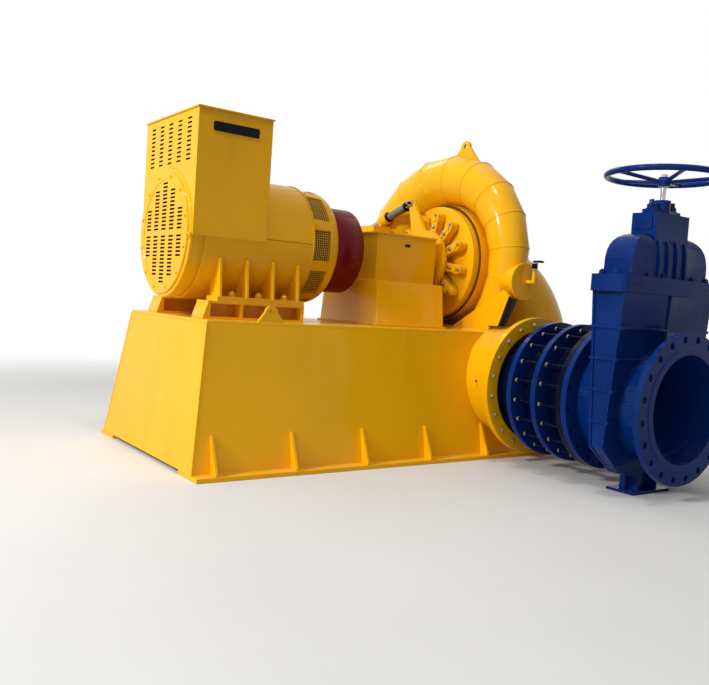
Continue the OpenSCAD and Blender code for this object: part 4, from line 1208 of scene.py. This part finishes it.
@dataclass
class Turbine:
    """The spiral case with its stay ring, cover, nozzle and draft tube."""

    segments: int = 15
    start: float = -90.0
    end: float = 210.0
    inlet_r: float = 0.362
    tail_r: float = 0.120
    vanish: float = 225.0
    power: float = 1.6
    case_x: float = 0.915
    case_gap: float = 0.3 * MM
    bead: float = 3.0 * MM
    pocket_z: float = 0.87
    gland_bolts: int = 8
    gland_circle: float = 0.093
    gland_bolt: float = 0.012
    split_inner: float = 0.060
    split_outer: float = 0.1185
    nozzle_wall: float = 0.014
    nozzle_seam: float = 0.100
    nozzle_seam_low: float = 0.012
    recess_proud: float = 2.0 * MM
    vent_body: float = 0.052
    vent_axis: float = 0.019
    vent_nut: float = 0.0225
    vent_nut_height: float = 0.009
    grip_length: float = 0.050
    cover_bolts: int = 16
    cover_circle: float = 0.312
    cover_bolt: float = 0.018

    def build(self) -> None:
        """Dresses the turbine."""
        for node in ("head_cover", "shaft_gland", "stay_ring", "case_lifting_lug", "side_nozzle",
                     "draft_tube_flanges"):
            dress(node, Paint.YELLOW, 2.5 * MM)
        web = dress("case_web", Paint.YELLOW, 0.0)
        # The web's face in the pocket beside it is painted near-black shade.
        paint_faces(web, Paint.INSIDE,
                    lambda place, normal: normal.y < -0.7 and place.z > self.pocket_z)
        self._vent()
        self._recess()
        # The spiral's and the nose's faces in that pocket are painted near-black shade too.
        for node in ("spiral_case", "case_nose"):
            paint_faces(dress(node, Paint.YELLOW, 0.0, SHELL_ANGLE), Paint.INSIDE,
                        self._in_painted_shade_beside_web)
        dress("draft_tube", Paint.YELLOW, 0.0, SHELL_ANGLE)
        self._seams()
        self._gland()
        self._nozzle()
        self._cover_bolts()

    @staticmethod
    def _in_painted_shade_beside_web(place: Vector, normal: Vector) -> bool:
        """Whether a face of the spiral's end lies in the pocket beside the web that is painted
        shade.
        """
        low_end = place.y < -0.3 and place.z < 1.13
        return low_end and normal.z < -0.3 and normal.y < -0.5 and normal.x > -0.3

    def _radius(self, angle: float) -> float:
        """Pipe radius of the spiral at an angle in degrees."""
        share = (self.vanish - angle) / (self.vanish - self.start)
        return self.tail_r + (self.inlet_r - self.tail_r) * share ** self.power

    def _seams(self) -> None:
        """Lays a weld bead round each joint of the spiral's segments."""
        middle = Extent("main_shaft").middle
        step = (self.end - self.start) / self.segments
        stay = middle.z - Extent("stay_ring").low.z + self.case_gap
        inner = stay / math.cos(math.radians(step / 2))
        work = Work()
        for index in range(1, self.segments):
            angle = self.start + index * step
            radius = self._radius(angle)
            hub = about_x(middle, inner + radius, angle, self.case_x)
            tangent = about_x(Vector(), 1.0, angle + 90, 0.0)
            work.bead(hub, tangent, radius * 0.9995, self.bead, 96)
        work.done("case_seams", Paint.YELLOW)

    def _gland(self) -> None:
        """Adds the gland's bolts and the dark line of its split."""
        gland = Extent("shaft_gland")
        x, middle = gland.low.x, gland.middle
        work, split = Work(), Work()
        for angle in half_steps(self.gland_bolts):
            work.bolt(about_x(middle, self.gland_circle, angle, x), -ALONG, self.gland_bolt)
        work.done("gland_bolts", Paint.ZINC)
        for y0, y1 in ((-self.split_outer, -self.split_inner),
                       (self.split_inner, self.split_outer)):
            split.box((x - 0.5 * MM, y0, middle.z - 2.0 * MM),
                      (x + 2.0 * MM, y1, middle.z + 2.0 * MM))
        split.done("gland_split", Paint.INSIDE)

    def _nozzle(self) -> None:
        """Adds the nozzle's rim weld and the seam across its blank end."""
        nozzle = Extent("side_nozzle")
        middle = Vector((self.case_x, nozzle.low.y, nozzle.middle.z))
        radius = nozzle.high.z - nozzle.middle.z - self.nozzle_wall
        ends = [middle + Vector((x, 0.0, -self.nozzle_seam_low))
                for x in (-self.nozzle_seam, self.nozzle_seam)]
        work = Work()
        work.bead(middle + ACROSS * MM, ACROSS, radius, 2.0 * MM, 48)
        work.bar(*ends, 1.5 * MM, sides=6)
        work.done("nozzle_seams", Paint.YELLOW)

    def _recess(self) -> None:
        """Adds a ring round the head cover and a seat under the stay ring, both in dark yellow
        painted shade.
        """
        stay, middle = Extent("stay_ring"), Extent("main_shaft").middle
        inner = Extent("head_cover").high.z - middle.z + 0.5 * MM
        outer = stay.high.z - middle.z - 0.5 * MM
        back, face = stay.low.x, stay.low.x - self.recess_proud
        work, seat = Work(), Work()
        # Both the ring and the seat take the dark yellow of painted shade.
        work.lathe([(inner, back), (inner, face), (outer, face), (outer, back), (inner, back)],
                   (0.0, middle.y, middle.z), ALONG, FINE_TURN)
        work.done("cover_recess", Paint.SHADE)
        seat.box((back + 0.01, -0.30, Extent("base_deck").high.z),
                 (back + 0.04, 0.10, stay.low.z + 0.012))
        seat.done("stay_seat", Paint.SHADE)

    def _vent(self) -> None:
        """Dresses the vent pipe and its dark valve, with bright nuts and a grip on the lever."""
        vent, height = Extent("vent_pipe"), UP * self.vent_nut_height
        pipe = dress("vent_pipe", Paint.YELLOW, 1.5 * MM)
        paint_faces(pipe, Paint.BLACK, lambda place, _: place.z > vent.high.z - self.vent_body)
        dress("vent_valve_lever", Paint.BLACK, 1.5 * MM)
        nuts, grip = Work(), Work()
        for drop in (self.vent_body, self.vent_nut_height + 0.5 * MM):
            foot = Vector((vent.middle.x, vent.low.y + self.vent_axis, vent.high.z - drop))
            nuts.bar(foot, foot + height, self.vent_nut, sides=6)
        nuts.done("vent_valve_nuts", Paint.ZINC)
        arm = Extent("vent_valve_lever")
        end = Vector((arm.high.x, arm.middle.y, arm.high.z - 2.5 * MM))
        grip.bar(end - ALONG * self.grip_length, end, 0.0085, 0.0075, 16)
        grip.soften(2.0 * MM)
        grip.done("vent_valve_grip", Paint.BLACK, "vent_valve_lever")

    def _cover_bolts(self) -> None:
        """Adds the bolts of the draft tube's rear cover."""
        middle, face = Extent("main_shaft").middle, Extent("stay_ring").high.x + 0.030
        work = Work()
        for angle in half_steps(self.cover_bolts):
            work.bolt(about_x(middle, self.cover_circle, angle, face), ALONG, self.cover_bolt)
        work.done("rear_cover_bolts", Paint.YELLOW)


@dataclass
class Inlet:
    """The inlet pipe, its flange and the sleeve joint."""

    bolts: int = 20
    flange_circle: float = 0.396
    flange_bolt: float = 0.013
    ring_circle: float = 0.385
    ring_thick: float = 0.036
    tapping_back: float = 0.137
    tapping_up: float = 0.008
    tapping_r: float = 0.009
    drops: tuple[tuple[float, float], ...] = ((0.020, 0.004), (0.034, 0.003), (0.046, 0.0022))
    stud: float = 0.007
    stud_out: float = 0.024
    nut: float = 0.021

    def build(self) -> None:
        """Dresses the inlet and the joint."""
        for node in ("inlet_pipe", "inlet_flange"):
            dress(node, Paint.YELLOW)
        dress("inlet_seal", Paint.RUBBER)
        # The sleeve is in the darker blue of painted shade.
        dress("joint_sleeve", Paint.SHADED_BLUE, 2.5 * MM)
        dress("joint_rings", Paint.BLUE, 2.5 * MM)
        self._flange_bolts()
        self._tapping()
        self._studs()

    def _flange_bolts(self) -> None:
        """Adds the bright bolts of the yellow inlet flange."""
        flange = Extent("inlet_flange")
        work = Work()
        for angle in half_steps(self.bolts):
            seat = about_y(flange.middle, self.flange_circle, angle, flange.low.y)
            work.bolt(seat, -ACROSS, self.flange_bolt)
        work.done("inlet_flange_bolts", Paint.ZINC)

    def _tapping(self) -> None:
        """Adds the small tapped hole at the side of the inlet pipe as a disc of painted shade, with
        the drip stain below it.
        """
        pipe = Extent("inlet_pipe")
        face = Vector((pipe.low.x, pipe.low.y + self.tapping_back, pipe.middle.z + self.tapping_up))
        hole, drip = Work(), Work()
        hole.bar(face + ALONG * 3 * MM, face - ALONG * MM, self.tapping_r, sides=20)
        # The hole is a near-black disc of painted shade.
        hole.done("inlet_tapping", Paint.INSIDE)
        for down, radius in self.drops:
            drip.ball(face + Vector((2.0 * MM, -0.010, -down)), radius)
        drip.done("inlet_drip", Paint.SHADE)

    def _studs(self) -> None:
        """Adds the studs that hold the blue rings together, and their nuts."""
        rings, back = Extent("joint_rings"), Extent("joint_sleeve").low.y
        seats = ((rings.high.y, ACROSS), (rings.high.y - self.ring_thick, -ACROSS),
                 (rings.low.y, -ACROSS), (back + self.ring_thick, ACROSS))
        studs, nuts = Work(), Work()
        for angle in half_steps(self.bolts):
            ends = [about_y(rings.middle, self.ring_circle, angle, y)
                    for y in (rings.high.y + self.stud_out, back)]
            studs.bar(*ends, self.stud, sides=12)
            for y, way in seats:
                nuts.hexagon(about_y(rings.middle, self.ring_circle, angle, y), way,
                             self.nut, self.nut * 0.5)
        # The studs are in the darker blue of painted shade, for the gaps between the rings.
        studs.done("joint_studs", Paint.SHADED_BLUE)
        nuts.done("joint_nuts", Paint.ZINC)


@dataclass
class GateValve:
    """The cast gate valve with its bonnet and handwheel."""

    bolts_x: int = 6
    bolts_y: int = 2
    bonnet_flange: float = 0.046
    bonnet_edge: float = 0.026
    bonnet_bolt: float = 0.022
    gland_flange: float = 0.024
    gland_bolt: float = 0.030
    gland_bolt_x: float = 0.098
    bore_r: float = 0.3002
    face_r: float = 0.338
    face_proud: float = 4.5 * MM
    face_slope: float = 4.0 * MM
    hub_depth: float = 0.085
    stem_r: float = 0.02
    wheel_nut: float = 0.036
    wheel_nut_low: float = 0.022

    def build(self) -> None:
        """Dresses the valve."""
        for node in ("valve_body", "valve_foot", "valve_bonnet", "valve_gland"):
            dress(node, Paint.BLUE, 4.0 * MM)
        self._handwheel()
        self._bonnet_bolts()
        self._gland_bolts()
        self._sealing_face()
        self._wheel_nut()

    def _bonnet_bolts(self) -> None:
        """Adds the bolts round the edge of the bonnet flange."""
        bonnet = Extent("valve_bonnet")
        half = (bonnet.high - bonnet.low) / 2
        x, y = half.x - self.bonnet_edge, half.y - self.bonnet_edge
        places = [(-x + 2 * x * (k + 0.5) / self.bolts_x, side * y)
                  for k in range(self.bolts_x) for side in (-1, 1)]
        places += [(side * x, -y + 2 * y * (k + 0.5) / self.bolts_y)
                   for k in range(self.bolts_y) for side in (-1, 1)]
        work = Work()
        for dx, dy in places:
            seat = (bonnet.middle.x + dx, bonnet.middle.y + dy, bonnet.low.z + self.bonnet_flange)
            work.bolt(seat, UP, self.bonnet_bolt, 0.006)
        work.done("bonnet_bolts", Paint.BLUE)

    def _gland_bolts(self) -> None:
        """Adds the two tall bolts of the gland."""
        gland = Extent("valve_gland")
        work = Work()
        for x in (-self.gland_bolt_x, self.gland_bolt_x):
            seat = (gland.middle.x + x, gland.middle.y, gland.low.z + self.gland_flange)
            work.bolt(seat, UP, self.gland_bolt, 0.026)
        work.done("gland_follower_bolts", Paint.BLUE)

    def _sealing_face(self) -> None:
        """Adds the raised sealing face of the outer pipe flange."""
        body, bore = Extent("valve_body"), self.bore_r
        profile = [(bore, 0.0), (bore, self.face_proud), (self.face_r, self.face_proud),
                   (self.face_r + self.face_slope, 0.0), (bore, 0.0)]
        origin = (body.middle.x, body.low.y, Extent("joint_sleeve").middle.z)
        work = Work()
        work.lathe(profile, origin, -ACROSS, 96)
        work.done("sealing_face", Paint.BLUE)

    def _handwheel(self) -> None:
        """Dresses the handwheel, whose stem is bright."""
        wheel = Extent("valve_handwheel")
        hub, foot = wheel.middle, wheel.high.z - self.hub_depth

        def on_stem(place: Vector, _: Vector) -> bool:
            """Whether a face is on the stem below the hub."""
            return place.z < foot and math.hypot(place.x - hub.x, place.y - hub.y) < self.stem_r

        paint_faces(dress("valve_handwheel", Paint.BLUE, 0.0), Paint.STEEL, on_stem)

    def _wheel_nut(self) -> None:
        """Adds the nut on top of the handwheel's hub."""
        wheel, work = Extent("valve_handwheel"), Work()
        work.hexagon((wheel.middle.x, wheel.middle.y, wheel.high.z - self.wheel_nut_low), UP,
                     self.wheel_nut, self.wheel_nut / 2)
        work.done("wheel_nut", Paint.STEEL, "valve_handwheel")


def main() -> None:
    """Builds the stage and each part of the set."""
    logging.basicConfig(level=logging.INFO, format="%(message)s")
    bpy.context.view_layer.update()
    View().build()
    Studio().build()
    for part in (Base(), Generator(), ShaftLine(), Governor(), Turbine(), Inlet(), GateValve()):
        part.build()


if __name__ == "__main__":
    main()
